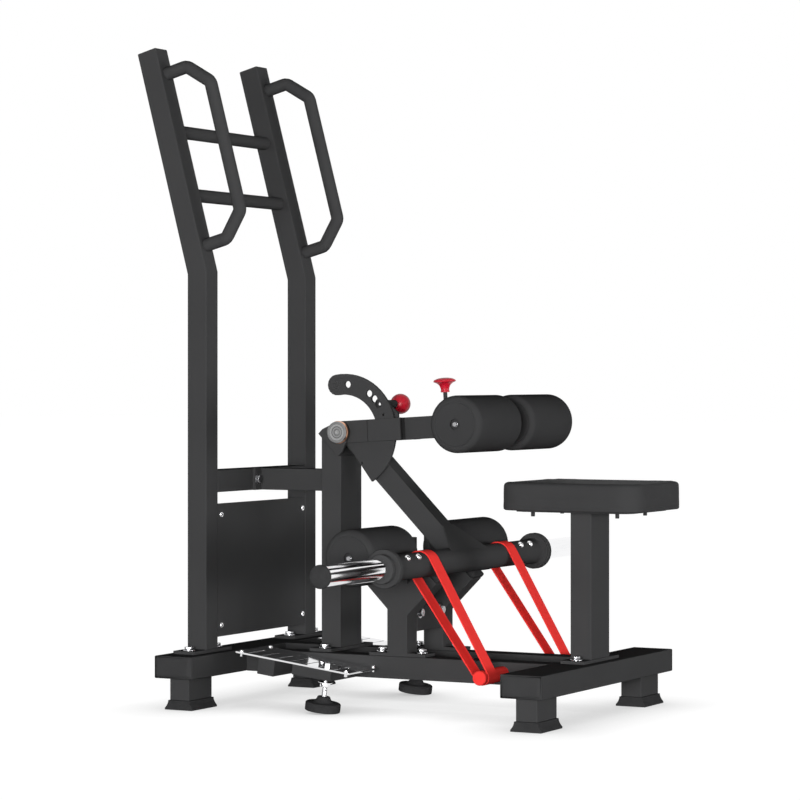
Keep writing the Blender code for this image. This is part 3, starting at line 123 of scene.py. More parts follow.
# Rollers and their axles; the lower rollers turn on LOWER_AXIS
ARM_TILT = math.radians(3.5)
ROLLER_AT = 0.410
ROLLER_RADIUS = 0.0665
ROLLER_LENGTH = 0.227
ROLLER_FACE = 0.053
ROLLER_RECESS = 0.0121
ROLLER_RECESS_DEPTH = 0.006
BORE = 0.0088
AXLE_RADIUS = 0.0085
LOWER_AXLE_START = 0.06625
UPPER_INNER_Y = 0.028
LOWER_INNER_Y = 0.12825
LOWER_AXIS = Vector((0.0134, 0.0, 0.3752))

# Pins and knobs
PULL_PIN = (0.09805, 0.06198)  # in the arm's own XZ plane
PIN_RADIUS = 0.005
PULL_NOSE = -0.0347
PULL_NOSE_TAPER = 0.002
BALL_RADIUS = 0.025
BALL_Y = 0.070
BALL_NECK = 0.009
BALL_BORE = 0.0054
BALL_BORE_DEPTH = 0.012
HEAD_PIN_AT = 0.259
HEAD_PIN_TIP = 0.02205
HEAD_PIN_TAPER = 0.001
KNOB_START = 0.0815
KNOB_HEIGHT = 0.035
KNOB_DISC = 0.027
KNOB_STEM = 0.0102
KNOB_BORE_DEPTH = 0.012
# Shares of the knob's disc or stem radius, and of its height
KNOB_CAP = ((0.0, 1.0), (0.26, 0.994), (0.51, 0.971), (0.72, 0.929), (0.89, 0.871), (0.975, 0.817),
            (1.0, 0.766), (0.99, 0.731), (0.95, 0.706), (0.85, 0.674), (0.72, 0.629), (0.59, 0.549),
            (0.485, 0.457))
KNOB_NECK = ((1.11, 0.343), (1.0, 0.229), (1.0, 0.114), (1.07, 0.04), (1.03, 0.0))

# Band pegs and bands; distances along Y from the middle of the machine
PEG = Vector((0.293, 0.0, 0.10325))
PEG_RADIUS = 0.015
PEG_FROM = 0.1203
PEG_TO = 0.241
PEG_COVER = 0.0018
BAND_FROM = 0.1825
BAND_TO = 0.2285
BAND_HOLD = 0.03  # share of the way between peg and weight tube, from each end, at which the two stretch points lie

# Foot plates and levelling feet
STEP_SLOPE = math.radians(-7.1)
STEP_REAR = Vector((-0.341, 0.0, 0.1398))
STEP_LENGTH = 0.311
STEP_SCREW_IN = 0.012
STEP_EDGES = (0.1295, 0.2635)  # the rows of screws, from the middle of the machine
LEVEL_FOOT = Vector((-0.125, 0.233, 0.0052))
LEVEL_RADIUS = 0.042
LEVEL_DISC = 0.021
LEVEL_HUB = 0.035
LEVEL_STUD_TOP = 0.094
LEVEL_NUT_TOP = 0.0690
THREAD_RADIUS = 0.0060
THREAD_ROOT = 0.0051
THREAD_PITCH = 0.00175
THREAD_END = 0.0015  # plain end of the stud

# Bolts and screws of the frame
TUBE = 0.0535
PLATE = 0.008
BASE_PLATE_TOP = 0.1383  # top of the base plates that stand on the frame
REAR_X = -0.455
MAST_Y = 0.237
MAST_BOLT_STEP = 0.061
CENTER_BOLT = (-0.20411, 0.082)
BEAM_Y = 0.093
POST_BOLT_STEP = 0.053
SEAT_BOLT = (0.461, 0.075)
TIE_BOLT = (0.054, 0.231)  # Y and Z
LINK_BOLT = (0.039, 0.541)  # Y and Z
PANEL_SCREW_Y = 0.195
PANEL_SCREWS_Z = (0.192, 0.460)
PANEL_SINK = 0.001  # how far the panel's face lies behind the masts' front faces

# Studio
LENS = 130.5
LENS_SHIFT = -0.03
CAMERA_PLACE = (3.2736, -6.1713, 0.795)
CAMERA_TURN = math.radians(28.25)
LAMP_DISTANCE = 6.0
LAMP_SIZE = (2.0, 1.1)
LAMP_TARGET = Vector((0, 0, 0.65))
FLOOR_SIZE = 80
FLOOR_GREY = 0.06
CONTACT_REACH = 0.16
CONTACT_SHADE = 0.55


def tilted(place, angle):
    return Matrix.Translation(place) @ Matrix.Rotation(-angle, 4, "Y")


def to_side(place, sign):
    """A frame at a place whose +Z axis points out to one side of the machine."""
    return Matrix.Translation(place) @ Matrix.Rotation(-sign * math.pi / 2, 4, "X")


ARM = tilted(PIVOT, ARM_TILT)
PUSH_AXIS = tilted(PIVOT, LEVER_ANGLE) @ Vector((LEVER_LENGTH, 0, 0))
STEP = tilted(STEP_REAR, STEP_SLOPE)


def sum_of(operation, swapped=False):
    """An operator of Value that adds a math node."""

    def method(self, other):
        first, second = (other, self) if swapped else (self, other)
        return self.finish.node("ShaderNodeMath", {"operation": operation}, {0: first, 1: second})

    return method


class Value:
    """A socket of a finish that takes part in sums; numbers alone are worked out in Python."""

    def __init__(self, finish, socket):
        self.finish = finish
        self.socket = socket

    __add__, __radd__ = sum_of("ADD"), sum_of("ADD", True)
    __sub__, __rsub__ = sum_of("SUBTRACT"), sum_of("SUBTRACT", True)
    __mul__, __rmul__ = sum_of("MULTIPLY"), sum_of("MULTIPLY", True)
    __pow__ = sum_of("POWER")


class Finish:
    """One material: its nodes come from node(), its sums from Value."""

    def __init__(self, name, colour):
        self.material = bpy.data.materials.new(name)
        self.material.use_nodes = True
        self.colour = tuple(colour)
        self.material.diffuse_color = (*self.colour, 1.0)
        self.tree = self.material.node_tree
        self.shader = self.tree.nodes["Principled BSDF"]
        self.place = None

    @classmethod
    def of_world(cls, world):
        """The same calls for a world's nodes."""
        made = cls.__new__(cls)
        made.tree = world.node_tree
        made.place = None
        return made

    def node(self, kind, settings=None, inputs=None, output=0):
        made = self.tree.nodes.new(kind)
        for key, setting in (settings or {}).items():
            if key == "stops":
                for stop, (position, colour) in zip(self.ramp_stops(made, len(setting)), setting):
                    stop.position = position
                    stop.color = colour
            else:
                setattr(made, key, setting)
        for key, value in (inputs or {}).items():
            if isinstance(value, Value):
                self.tree.links.new(value.socket, made.inputs[key])
            else:
                made.inputs[key].default_value = value
        if isinstance(output, tuple):
            return [Value(self, made.outputs[name]) for name in output]
        return Value(self, made.outputs[output])

    def ramp_stops(self, made, count):
        while len(made.color_ramp.elements) < count:
            made.color_ramp.elements.new(1.0)
        return made.color_ramp.elements

    def largest(self, first, *others):
        for other in others:
            first = self.node("ShaderNodeMath", {"operation": "MAXIMUM"}, {0: first, 1: other})
        return first

    def object_place(self):
        if self.place is None:
            self.place = self.node("ShaderNodeTexCoord", output=3)
        return self.place

    def stretched(self, scale):
        return self.node("ShaderNodeMapping", inputs={"Vector": self.object_place(), "Scale": scale})

    def noise(self, scale, detail=2.0, roughness=0.5, place=None):
        inputs = {"Vector": place or self.object_place(), "Scale": scale, "Detail": detail,
                  "Roughness": roughness}
        return self.node("ShaderNodeTexNoise", inputs=inputs)

    def cells(self, scale, feature="F1"):
        return self.node("ShaderNodeTexVoronoi", {"feature": feature},
                         {"Vector": self.object_place(), "Scale": scale})

    def ramp(self, value, *stops):
        greys = [(position, (level, level, level, 1.0)) for position, level in stops]
        return self.node("ShaderNodeValToRGB", {"stops": greys}, {"Fac": value})

    def tinted(self, share, first, second):
        settings = {"data_type": "RGBA"}
        inputs = {0: share, 6: (*first, 1.0), 7: (*second, 1.0)}
        return self.node("ShaderNodeMix", settings, inputs, output=2)

    def shaded(self, share, low, high):
        """From a darker to a lighter shade of the finish's own colour."""
        return self.tinted(share, *(tuple(min(1.0, channel * factor) for channel in self.colour)
                                    for factor in (low, high)))

    def bump(self, height, strength, distance, under=None):
        inputs = {"Height": height, "Strength": strength, "Distance": distance}
        if under:
            inputs["Normal"] = under
        return self.node("ShaderNodeBump", inputs=inputs)

    def set(self, **sockets):
        """Links or sets the shader's sockets; an underscore stands for a space in their names."""
        for name, value in sockets.items():
            socket = self.shader.inputs[name.replace("_", " ")]
            if isinstance(value, Value):
                self.tree.links.new(value.socket, socket)
            else:
                socket.default_value = value
        return self.material


def powder_coat(look):
    """Fine orange-peel paint with slight cloudiness."""
    finish = Finish("powder_coat", look.powder_coat)
    cloud = finish.noise(7.0, 3.0)
    grain = finish.noise(1400.0, 2.0)
    peel = finish.cells(520.0)
    skin = finish.bump(peel, 0.10, 0.0003)
    return finish.set(
        Base_Color=finish.shaded(cloud, 0.90, 1.10),
        Roughness=0.47 + grain * 0.10 - cloud * 0.04,
        Normal=finish.bump(grain, 0.16, 0.0002, skin),
        Specular_IOR_Level=look.powder_gloss)


def moulded_plastic(look):
    finish = Finish("moulded_plastic", look.plastic)
    spark = finish.cells(1500.0)
    cloud = finish.noise(20.0, 2.0)
    return finish.set(
        Base_Color=finish.shaded(cloud, 0.88, 1.12),
        Roughness=0.46 + spark * 0.10,
        Normal=finish.bump(spark, 0.18, 0.0002),
        Specular_IOR_Level=look.powder_gloss)


def moulded_rubber(look):
    finish = Finish("moulded_rubber", look.rubber)
    dust = finish.noise(60.0, 4.0, 0.6)
    pores = finish.noise(1800.0, 1.0)
    return finish.set(
        Base_Color=finish.shaded(dust ** 2.0, 0.85, 1.35),
        Roughness=0.62 + dust * 0.12,
        Normal=finish.bump(pores, 0.20, 0.0002),
        Specular_IOR_Level=look.powder_gloss)


def vinyl(name, colour, gloss, grain_scale):
    """Upholstery skin: leather cells, finer creases in them and a soft satin."""
    finish = Finish(name, colour)
    warp = finish.noise(90.0, 3.0)
    cells = finish.cells(grain_scale, "DISTANCE_TO_EDGE")
    crease = finish.ramp(cells, (0.0, 0.0), (0.18, 1.0))
    fine = finish.noise(2600.0, 2.0)
    soft = finish.bump(warp, 0.03, 0.002)
    skin = finish.bump(crease, 0.14, 0.0003, soft)
    shade = finish.noise(9.0, 3.0)
    return finish.set(
        Base_Color=finish.shaded(shade, 0.88, 1.12),
        Roughness=0.50 - crease * 0.05 + fine * 0.05,
        Normal=finish.bump(fine, 0.08, 0.0001, skin),
        Specular_IOR_Level=gloss)


def chrome(look):
    """Bright plating with faint smears along the part."""
    finish = Finish("chrome", (0.8, 0.8, 0.82))
    smear = finish.noise(1.0, 4.0, 0.6, finish.stretched((160.0, 14.0, 160.0)))
    drawn = finish.noise(1.0, 2.0, 0.5, finish.stretched((2400.0, 40.0, 2400.0)))
    return finish.set(
        Base_Color=finish.tinted(smear, (0.86, 0.86, 0.87), (0.95, 0.95, 0.96)),
        Metallic=1.0,
        Roughness=0.05 + smear * 0.06,
        Normal=finish.bump(drawn, 0.04, 0.0001))


def zinc(look):
    """Bright zinc plate, lightly crystalline."""
    finish = Finish("zinc", look.zinc)
    bloom = finish.cells(420.0)
    fine = finish.noise(1500.0, 2.0)
    return finish.set(
        Base_Color=finish.shaded(bloom, 0.85, 1.25),
        Metallic=1.0,
        Roughness=0.20 + fine * 0.10,
        Normal=finish.bump(fine, 0.06, 0.0001))


def turned_steel(look):
    """The caps of the pivot shaft: rings round its axis, partly turning grain and partly painted
    reflection that darkens the metal in bands.
    """
    finish = Finish("turned_steel", look.zinc)
    x, z = finish.node("ShaderNodeSeparateXYZ", inputs={0: finish.object_place()}, output=(0, 2))
    radius = ((x - PIVOT.x) ** 2.0 + (z - PIVOT.z) ** 2.0) ** 0.5
    turning_grain_and_painted_reflection = finish.node("ShaderNodeTexNoise", {"noise_dimensions": "1D"},
                        {"W": radius, "Scale": 420.0, "Detail": 3.0})
    return finish.set(
        # The dark bands in the base colour are painted reflection laid over the turning grain.
        Base_Color=finish.ramp(turning_grain_and_painted_reflection, (0.38, 0.10), (0.62, 0.46)),
        Metallic=1.0,
        Roughness=0.22 + turning_grain_and_painted_reflection * 0.16,
        Normal=finish.bump(turning_grain_and_painted_reflection, 0.25, 0.0004))


def bronze(look):
    finish = Finish("bronze", look.bronze)
    drawn = finish.noise(900.0, 3.0)
    return finish.set(
        Base_Color=finish.shaded(drawn, 0.8, 1.15),
        Metallic=1.0,
        Roughness=0.26 + drawn * 0.12,
        Normal=finish.bump(drawn, 0.05, 0.0001))


def polished_steel(look):
    """Mirror sheet with a fine lengthwise rolling grain and faint shoe scuffs."""
    finish = Finish("polished_steel", (0.6, 0.6, 0.62))
    rolled = finish.noise(1.0, 2.0, 0.5, finish.stretched((30.0, 2600.0, 30.0)))
    scuff = finish.noise(38.0, 5.0, 0.7)
    return finish.set(
        Base_Color=finish.tinted(scuff, (0.70, 0.70, 0.71), (0.80, 0.80, 0.81)),
        Metallic=1.0,
        Roughness=0.04 + scuff * 0.07,
        Normal=finish.bump(rolled, 0.03, 0.0001))


def knob_plastic(look):
    finish = Finish("knob_plastic", look.knob)
    cloud = finish.noise(30.0, 2.0)
    skin = finish.noise(700.0, 2.0)
    return finish.set(
        Base_Color=finish.shaded(cloud, 0.88, 1.10),
        Roughness=0.30 + cloud * 0.10,
        Normal=finish.bump(skin, 0.02, 0.0001),
        Specular_IOR_Level=0.30)


def band_rubber(look):
    """Layered latex: faint lengthwise lines and a powdery bloom."""
    finish = Finish("band_rubber", look.band)
    layers = finish.noise(1.0, 2.0, 0.5, finish.stretched((12.0, 900.0, 12.0)))
    bloom = finish.noise(45.0, 4.0, 0.6)
    pores = finish.noise(1600.0, 2.0)
    lines = finish.bump(layers, 0.10, 0.0003)
    return finish.set(
        Base_Color=finish.shaded(bloom, 0.92, 1.06),
        Roughness=0.55 + bloom * 0.12,
        Normal=finish.bump(pores, 0.12, 0.0002, lines),
        Specular_IOR_Level=0.0)


def seat_vinyl(look):
    return vinyl("seat_vinyl", look.seat, look.vinyl_gloss, 620.0)


def roller_vinyl(look):
    return vinyl("roller_vinyl", look.roller, 0.0, 820.0)


MAKERS = {
    "powder_coat": powder_coat,
    "black_plastic": moulded_plastic,
    "rubber": moulded_rubber,
    "upholstery": seat_vinyl,
    "foam_skin": roller_vinyl,
    "chrome": chrome,
    "zinc": zinc,
    "turned_steel": turned_steel,
    "bronze": bronze,
    "tread_plate": polished_steel,
    "knob_red": knob_plastic,
    "band_red": band_rubber,
}
MADE = {}


def surface(slot):
    if slot not in MADE:
        MADE[slot] = MAKERS[slot](bpy.context.scene.machine_look)
    return MADE[slot]


def select_none():
    bpy.ops.object.select_all(action="DESELECT")


def only(obj):
    select_none()
    obj.select_set(True)
    bpy.context.view_layer.objects.active = obj


def edit(obj):
    only(obj)
    bpy.ops.object.mode_set(mode="EDIT")


def leave():
    bpy.ops.object.mode_set(mode="OBJECT")


def pick(obj, kind, wanted):
    """Selects, in edit mode, the faces, edges or vertices that the test wants."""
    bpy.ops.object.mode_set(mode="EDIT")
    bpy.ops.mesh.select_mode(type=kind)
    bpy.ops.mesh.select_all(action="DESELECT")
    leave()
    items = {"VERT": obj.data.vertices, "EDGE": obj.data.edges, "FACE": obj.data.polygons}[kind]
    for item in items:
        item.select = bool(wanted(item))
    bpy.ops.object.mode_set(mode="EDIT")


def pick_upper_edges(obj):
    """Selects the edges above the object's own origin."""
    pick(obj, "EDGE", lambda edge: all(obj.data.vertices[k].co.z > 0 for k in edge.vertices))


def apply_place(obj):
    only(obj)
    bpy.ops.object.transform_apply(location=True, rotation=True, scale=True)


def apply_modifiers(obj):
    only(obj)
    for modifier in list(obj.modifiers):
        bpy.ops.object.modifier_apply(modifier=modifier.name)


def smooth(obj, angle):
    only(obj)
    bpy.ops.object.shade_smooth_by_angle(angle=math.radians(angle))


def settle(obj, name, body, slot, stands_for=(), angle=40, finish=None, stretch=None):
    """Names a finished piece, gives it its surface and puts it on its body; a piece given stretch is put
    on no body, and its place is baked into its mesh.

    A finish other than the slot's own is named. stretch holds a second body and two points, which are
    not used."""
    obj.name = name
    obj.data.name = name
    obj.data.materials.clear()
    obj.data.materials.append(surface(finish or slot))
    smooth(obj, angle)
    if stretch:
        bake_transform(obj)
    else:
        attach(obj, body)
    if stands_for:
        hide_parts(*stands_for)
    return obj


def joined(pieces):
    """Several objects as one."""
    select_none()
    for piece in pieces:
        piece.select_set(True)
    bpy.context.view_layer.objects.active = pieces[0]
    bpy.ops.object.join()
    return bpy.context.object


def spread(pattern, places):
    """Copies of a pattern at the places, each with its own mesh, as one object.

    The pattern itself is removed."""
    copies = []
    for place in places:
        copy = pattern.copy()
        copy.data = pattern.data.copy()
        bpy.context.scene.collection.objects.link(copy)
        copy.matrix_world = place @ pattern.matrix_world
        apply_place(copy)
        copies.append(copy)
    bpy.data.objects.remove(pattern, do_unlink=True)
    return joined(copies)


def lathe(outline, place, steps):
    """Draws radii and heights by extruding a vertex, then spins them about the place's Z axis."""
    select_none()
    bpy.ops.mesh.primitive_plane_add(size=0.01)
    made = bpy.context.object
    edit(made)
    bpy.ops.mesh.select_mode(type="VERT")
    bpy.ops.mesh.select_all(action="SELECT")
    bpy.ops.mesh.merge(type="CENTER")
    radius, height = outline[0]
    bpy.ops.transform.translate(value=(radius, 0.0, height))
    for (radius, height), (next_radius, next_height) in zip(outline, outline[1:]):
        step = (next_radius - radius, 0.0, next_height - height)
        bpy.ops.mesh.extrude_region_move(TRANSFORM_OT_translate={"value": step})
    bpy.ops.mesh.select_all(action="SELECT")
    bpy.ops.mesh.spin(steps=steps, angle=2 * math.pi, center=(0, 0, 0), axis=(0, 0, 1))
    bpy.ops.mesh.select_all(action="SELECT")
    bpy.ops.mesh.remove_doubles(threshold=2 * WELD)
    bpy.ops.mesh.normals_make_consistent(inside=False)
    leave()
    made.matrix_world = place
    apply_place(made)
    return made


def arc(center, radius_x, radius_y, start, end, steps):
    """Points on part of an ellipse, angles in degrees."""
    angles = [math.radians(start + (end - start) * k / steps) for k in range(steps + 1)]
    return [(center[0] + radius_x * math.cos(a), center[1] + radius_y * math.sin(a)) for a in angles]


def eased(node, width, limit=50, crease=50):
    """A welded copy of a CAD node whose sharp edges are eased by a small bevel."""
    source = NODES[node]
    made = source.copy()
    made.data = source.data.copy()
    for key in list(made.keys()):  # its tags belong to the CAD node alone
        del made[key]
    made.parent = None
    bpy.context.scene.collection.objects.link(made)
    edit(made)
    bpy.ops.mesh.customdata_custom_splitnormals_clear()
    bpy.ops.mesh.select_all(action="SELECT")
    bpy.ops.mesh.remove_doubles(threshold=WELD)
    bpy.ops.mesh.dissolve_limited(angle_limit=math.radians(0.4))
    leave()
    if width:
        ease = made.modifiers.new("Ease", "BEVEL")
        ease.width = width
        ease.segments = 2
        ease.limit_method = "ANGLE"
        ease.angle_limit = math.radians(limit)
        ease.use_clamp_overlap = False
        ease.harden_normals = False
    flat = made.modifiers.new("Flat faces", "WEIGHTED_NORMAL")
    flat.keep_sharp = True
    smooth(made, crease)
    apply_modifiers(made)
    return made


def cylinder(vertices, radius, height, foot=0.0):
    """An upright cylinder on the origin, or with its foot at this height above it."""
    select_none()
    bpy.ops.mesh.primitive_cylinder_add(vertices=vertices, radius=radius, depth=height,
                                        location=(0, 0, foot + height / 2))
    return bpy.context.object


def hex_bolt(flats, height, washer_radius, washer_thick=0.0018):
    """A chamfered hex head on a round washer, standing on the origin and pointing up."""
    head = cylinder(6, flats / math.sqrt(3), height - washer_thick, washer_thick)
    pick(head, "FACE", lambda face: face.normal.z > 0.9)
    bpy.ops.mesh.inset(thickness=flats * 0.07, depth=flats * 0.035)  # the chamfer
    bpy.ops.mesh.inset(thickness=flats * 0.10, depth=-0.0002)  # the shallow dish in the top
    leave()
    ease = head.modifiers.new("Ease", "BEVEL")
    ease.width = 0.0004
    ease.segments = 2
    apply_modifiers(head)
    washer = cylinder(32, washer_radius, washer_thick)
    pick_upper_edges(washer)
    bpy.ops.mesh.bevel(offset=0.0005, segments=2)
    leave()
    apply_place(head)
    apply_place(washer)
    return joined([head, washer])


def button_screw(radius, height, socket):
    """A domed screw head with a hex socket, standing on the origin and pointing up."""
    head = cylinder(24, radius, height)
    pick_upper_edges(head)
    bpy.ops.mesh.bevel(offset=height * 0.7, segments=4)
    pick(head, "FACE", lambda face: face.normal.z > 0.99 and face.area > radius * radius * 0.1)
    bpy.ops.mesh.inset(thickness=max(radius * 0.15, radius - height * 0.7 - socket), depth=0)
    bpy.ops.mesh.inset(thickness=radius * 0.04, depth=-height * 0.45)
    leave()
    apply_place(head)
    return head


def tint(label, note, *default):
    return FloatVectorProperty(name=label, description=note, default=default, subtype="COLOR",
                               min=0, max=1)


def amount(label, note, default, **more):
    return FloatProperty(name=label, description=note, default=default, min=0, **more)


def length(label, note, default, low, high):
    return FloatProperty(name=label, description=note, default=default, min=low, max=high,
                         subtype="DISTANCE", unit="LENGTH")


def angle_of(label, note, degrees):
    return FloatProperty(name=label, description=note, default=math.radians(degrees),
                         subtype="ANGLE", unit="ROTATION")


class MachineLook(bpy.types.PropertyGroup):
    """Colours and gloss of the finishes."""

    powder_coat: tint("Powder coat", "Paint of the steel frame", 0.054, 0.054, 0.055)
    plastic: tint("Plastic", "End plugs and seat board", 0.047, 0.047, 0.048)
    rubber: tint("Rubber", "Feet, bumpers and caps", 0.040, 0.040, 0.041)
    seat: tint("Seat vinyl", "Cover of the seat cushion", 0.048, 0.048, 0.049)
    roller: tint("Roller skin", "Skin of the foam rollers", 0.045, 0.045, 0.046)
    knob: tint("Knob", "Moulded knobs of the two pins", 0.50, 0.008, 0.024)
    band: tint("Band", "Bands and the covers of their pegs", 0.98, 0.052, 0.046)
    zinc: tint("Zinc", "Plated bolts, washers and axles", 0.34, 0.34, 0.35)
    bronze: tint("Bronze", "Washers and collars of the pivot", 0.72, 0.38, 0.24)
    powder_gloss: amount("Paint gloss", "Specular level of paint, plastic and rubber", 0.0, max=1)
    vinyl_gloss: amount("Vinyl gloss", "Specular level of the seat's vinyl", 0.004, max=1)


class MachineSizes(bpy.types.PropertyGroup):
    """Sizes of the pieces that are modelled here."""

    edge: length("Eased edge", "Bevel on the sharp edges of steel pieces", 0.0009, 0, 0.003)
    seat_corner: length("Seat corner", "Corner radius, seen from above", 0.053, 0.01, 0.1)
    seat_edge: length("Seat edge", "Radius of the seat's upper edge", 0.009, 0.003, 0.025)
    seat_crown: length("Seat crown", "Rise of the seat's middle", 0.0025, 0, 0.01)
    seat_rim: length("Seat rim", "How far the lower rim hangs down", 0.0045, 0, 0.008)
    roller_steps: IntProperty(name="Roller steps", description="Steps round a foam roller",
                              default=72, min=24, max=128)


class MachineStudio(bpy.types.PropertyGroup):
    """Lamps and background."""

    key: amount("Key", "Power of the lamp near the camera, in watts", 270.0)
    key_turn: angle_of("Key azimuth", "From the machine's right side round to its front", 20)
    side: amount("Side", "Power of the lamp before the seat, in watts", 98.0)
    side_turn: angle_of("Side azimuth", "From the machine's right side round to its front", 92)
    lamp_height: length("Lamp height", "Height of the lamps' middles", 0.65, 0, 10)
    ambient: amount("Ambient", "World light on matt surfaces", 0.01)
    belt: amount("Belt", "World light near the horizon on matt surfaces", 3.4)
    belt_height: angle_of("Belt height", "Its reach above the horizon", 8)
    mirrored: amount("Mirrored background", "Brightness of the background in reflections", 1.0)
    floor_glow: amount("Floor glow", "Brightness of the open floor in the picture", 1.0)


class MACHINE_OT_steel_frame(bpy.types.Operator):
    """Eases and paints every steel, plastic and rubber piece that keeps its modelled shape"""

    bl_idname = "machine.steel_frame"
    bl_label = "Steel frame"

    def execute(self, context):
        edge = context.scene.machine_sizes.edge
        for node in sorted(NODES):
            if node in OTHERS:
                continue
            width = next((bevel for start, bevel in BEVELS.items() if node.startswith(start)), edge)
            settle(eased(node, width), f"{node}_finish", BODY_OF[node], SLOT_OF[node], [node],
                   angle=50)
        return {"FINISHED"}


class MACHINE_OT_seat_cushion(bpy.types.Operator):
    """Models the seat's vinyl cushion with cloth simulation"""

    bl_idname = "machine.seat_cushion"
    bl_label = "Seat cushion"

    def execute(self, context):
        sizes = context.scene.machine_sizes
        low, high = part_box("seat_cushion")
        middle = (low + high) / 2
        half = (high - low) / 2
        pad = self.block(middle, half, sizes)
        self.swell(pad, half, middle)
        settle(pad, "seat_pad", BODY_OF["seat_cushion"], "upholstery", ["seat_cushion"], angle=60)
        return {"FINISHED"}

    def block(self, middle, half, sizes):
        """A cube cut into a grid, its points moved onto a rounded, crowned block."""
        select_none()
        bpy.ops.mesh.primitive_cube_add(size=2.0)
        pad = bpy.context.object
        edit(pad)
        bpy.ops.mesh.subdivide(number_cuts=SEAT_CUTS)
        leave()
        corner, edge = sizes.seat_corner, sizes.seat_edge
        inner = Vector((half.x - corner, half.y - corner))
        for vert in pad.data.vertices:
            u, v, w = vert.co
            x, y = self.even(u) * half.x, self.even(v) * half.y
            side = max(abs(u), abs(v)) > 0.999
            out = self.beyond(x, y, inner)
            if out.length > 0:
                square = max(abs(out.x), abs(out.y))
                flat = Vector((x, y)) - out
                x, y = flat + out.normalized() * square
            depth = self.inset(x, y, half, corner)
            z = w * half.z
            if w < 0:
                z -= sizes.seat_rim * -w * min(1.0, max(0.0, (SEAT_RIM_WIDTH - depth) / SEAT_RIM_FADE))
            if side:
                turned = self.rounded(abs(w) * half.z, half.z, edge if z > 0 else SEAT_LOWER_EDGE)
                shrink = turned - SEAT_BULGE * (1 - w * w)
                x, y = Vector((x, y)) - self.beyond(x, y, inner).normalized() * shrink
            elif w > 0.999:
                z -= self.rounded(half.z - depth, half.z, edge)
                crown = (1 - u * u) * (1 - v * v) - 1.0
                z += sizes.seat_crown * crown * min(1.0, depth / SEAT_CROWN_RISE)
            vert.co = Vector((x, y, z)) + middle
        return pad

    def even(self, share):
        """Moves the grid's lines a little towards the edges."""
        return math.copysign(abs(share) ** 0.92, share)

    def beyond(self, x, y, inner):
        """How far a point lies outside the rectangle between the corners' centres."""
        return Vector([math.copysign(max(0.0, abs(at) - limit), at) for at, limit in zip((x, y), inner)])

    def inset(self, x, y, half, corner):
        """How far a point on the top lies inside the rounded outline."""
        over = Vector((max(0.0, abs(x) - half.x + corner), max(0.0, abs(y) - half.y + corner)))
        if over.length > 0:
            return max(0.0, corner - over.length)
        return min(half.x - abs(x), half.y - abs(y))

    def rounded(self, position, half, radius):
        """How far an edge of that radius draws in a point this far along."""
        past = max(0.0, position - (half - radius))
        return radius - math.sqrt(max(0.0, radius * radius - past * past))

    def swell(self, pad, half, middle):
        """A short inflation with a small cap on how far a point may move."""
        rest = [vert.co.copy() for vert in pad.data.vertices]
        pinned = pad.vertex_groups.new(name="underside")
        pinned.add([k for k, co in enumerate(rest) if co.z < middle.z - half.z + 0.002], 1.0, "REPLACE")
        cloth = pad.modifiers.new("Cloth", "CLOTH")
        cloth.settings.quality = 6
        cloth.settings.use_pressure = True
        cloth.settings.uniform_pressure_force = 3.0
        cloth.settings.effector_weights.gravity = 0.0
        cloth.settings.vertex_group_mass = pinned.name
        cloth.point_cache.frame_start = 1
        cloth.point_cache.frame_end = SWELL_FRAMES
        for step in range(1, SWELL_FRAMES + 1):
            bpy.context.scene.frame_set(step)
        only(pad)
        bpy.ops.object.modifier_apply(modifier=cloth.name)
        bpy.context.scene.frame_set(1)
        for vert, start in zip(pad.data.vertices, rest):
            move = vert.co - start
            if move.length > SWELL_LIMIT:
                vert.co = start + move.normalized() * SWELL_LIMIT


class MACHINE_OT_rollers(bpy.types.Operator):
    """Models the four foam rollers"""

    bl_idname = "machine.rollers"
    bl_label = "Foam rollers"

    def execute(self, context):
        steps = context.scene.machine_sizes.roller_steps
        upper = ARM @ Vector((ROLLER_AT, 0, 0))
        levels = (("upper", upper, UPPER_INNER_Y), ("lower", LOWER_AXIS, LOWER_INNER_Y))
        for side, sign in SIDES:
            for level, place, inner in levels:
                node = f"{level}_roller_{side}"
                made = lathe(self.outline(inner), to_side(place, sign), steps)
                settle(made, f"{node}_foam", BODY_OF[node], "foam_skin", [node], angle=35)
        return {"FINISHED"}

    def outline(self, inner):
        """A roller's whole section, from its bore at the outer end round to the same point."""
        outer = inner + ROLLER_LENGTH
        middle = (inner + outer) / 2
        recess, face, floor = ROLLER_RECESS, ROLLER_FACE, outer - ROLLER_RECESS_DEPTH
        shoulder = ROLLER_RADIUS - face
        end = [(BORE, floor), (recess, floor), (recess, outer - 0.0012), (recess + 0.0012, outer),
               (face - 0.0030, outer), (face - 0.0018, outer - 0.0009),  # the seam round the face
               (face - 0.0006, outer - 0.0002)]
        end += arc((face, outer - shoulder * 1.15), shoulder, shoulder * 1.15, 88, 0, 9)
        back = [(radius, 2 * middle - height) for radius, height in reversed(end)]
        return end + back + [end[0]]


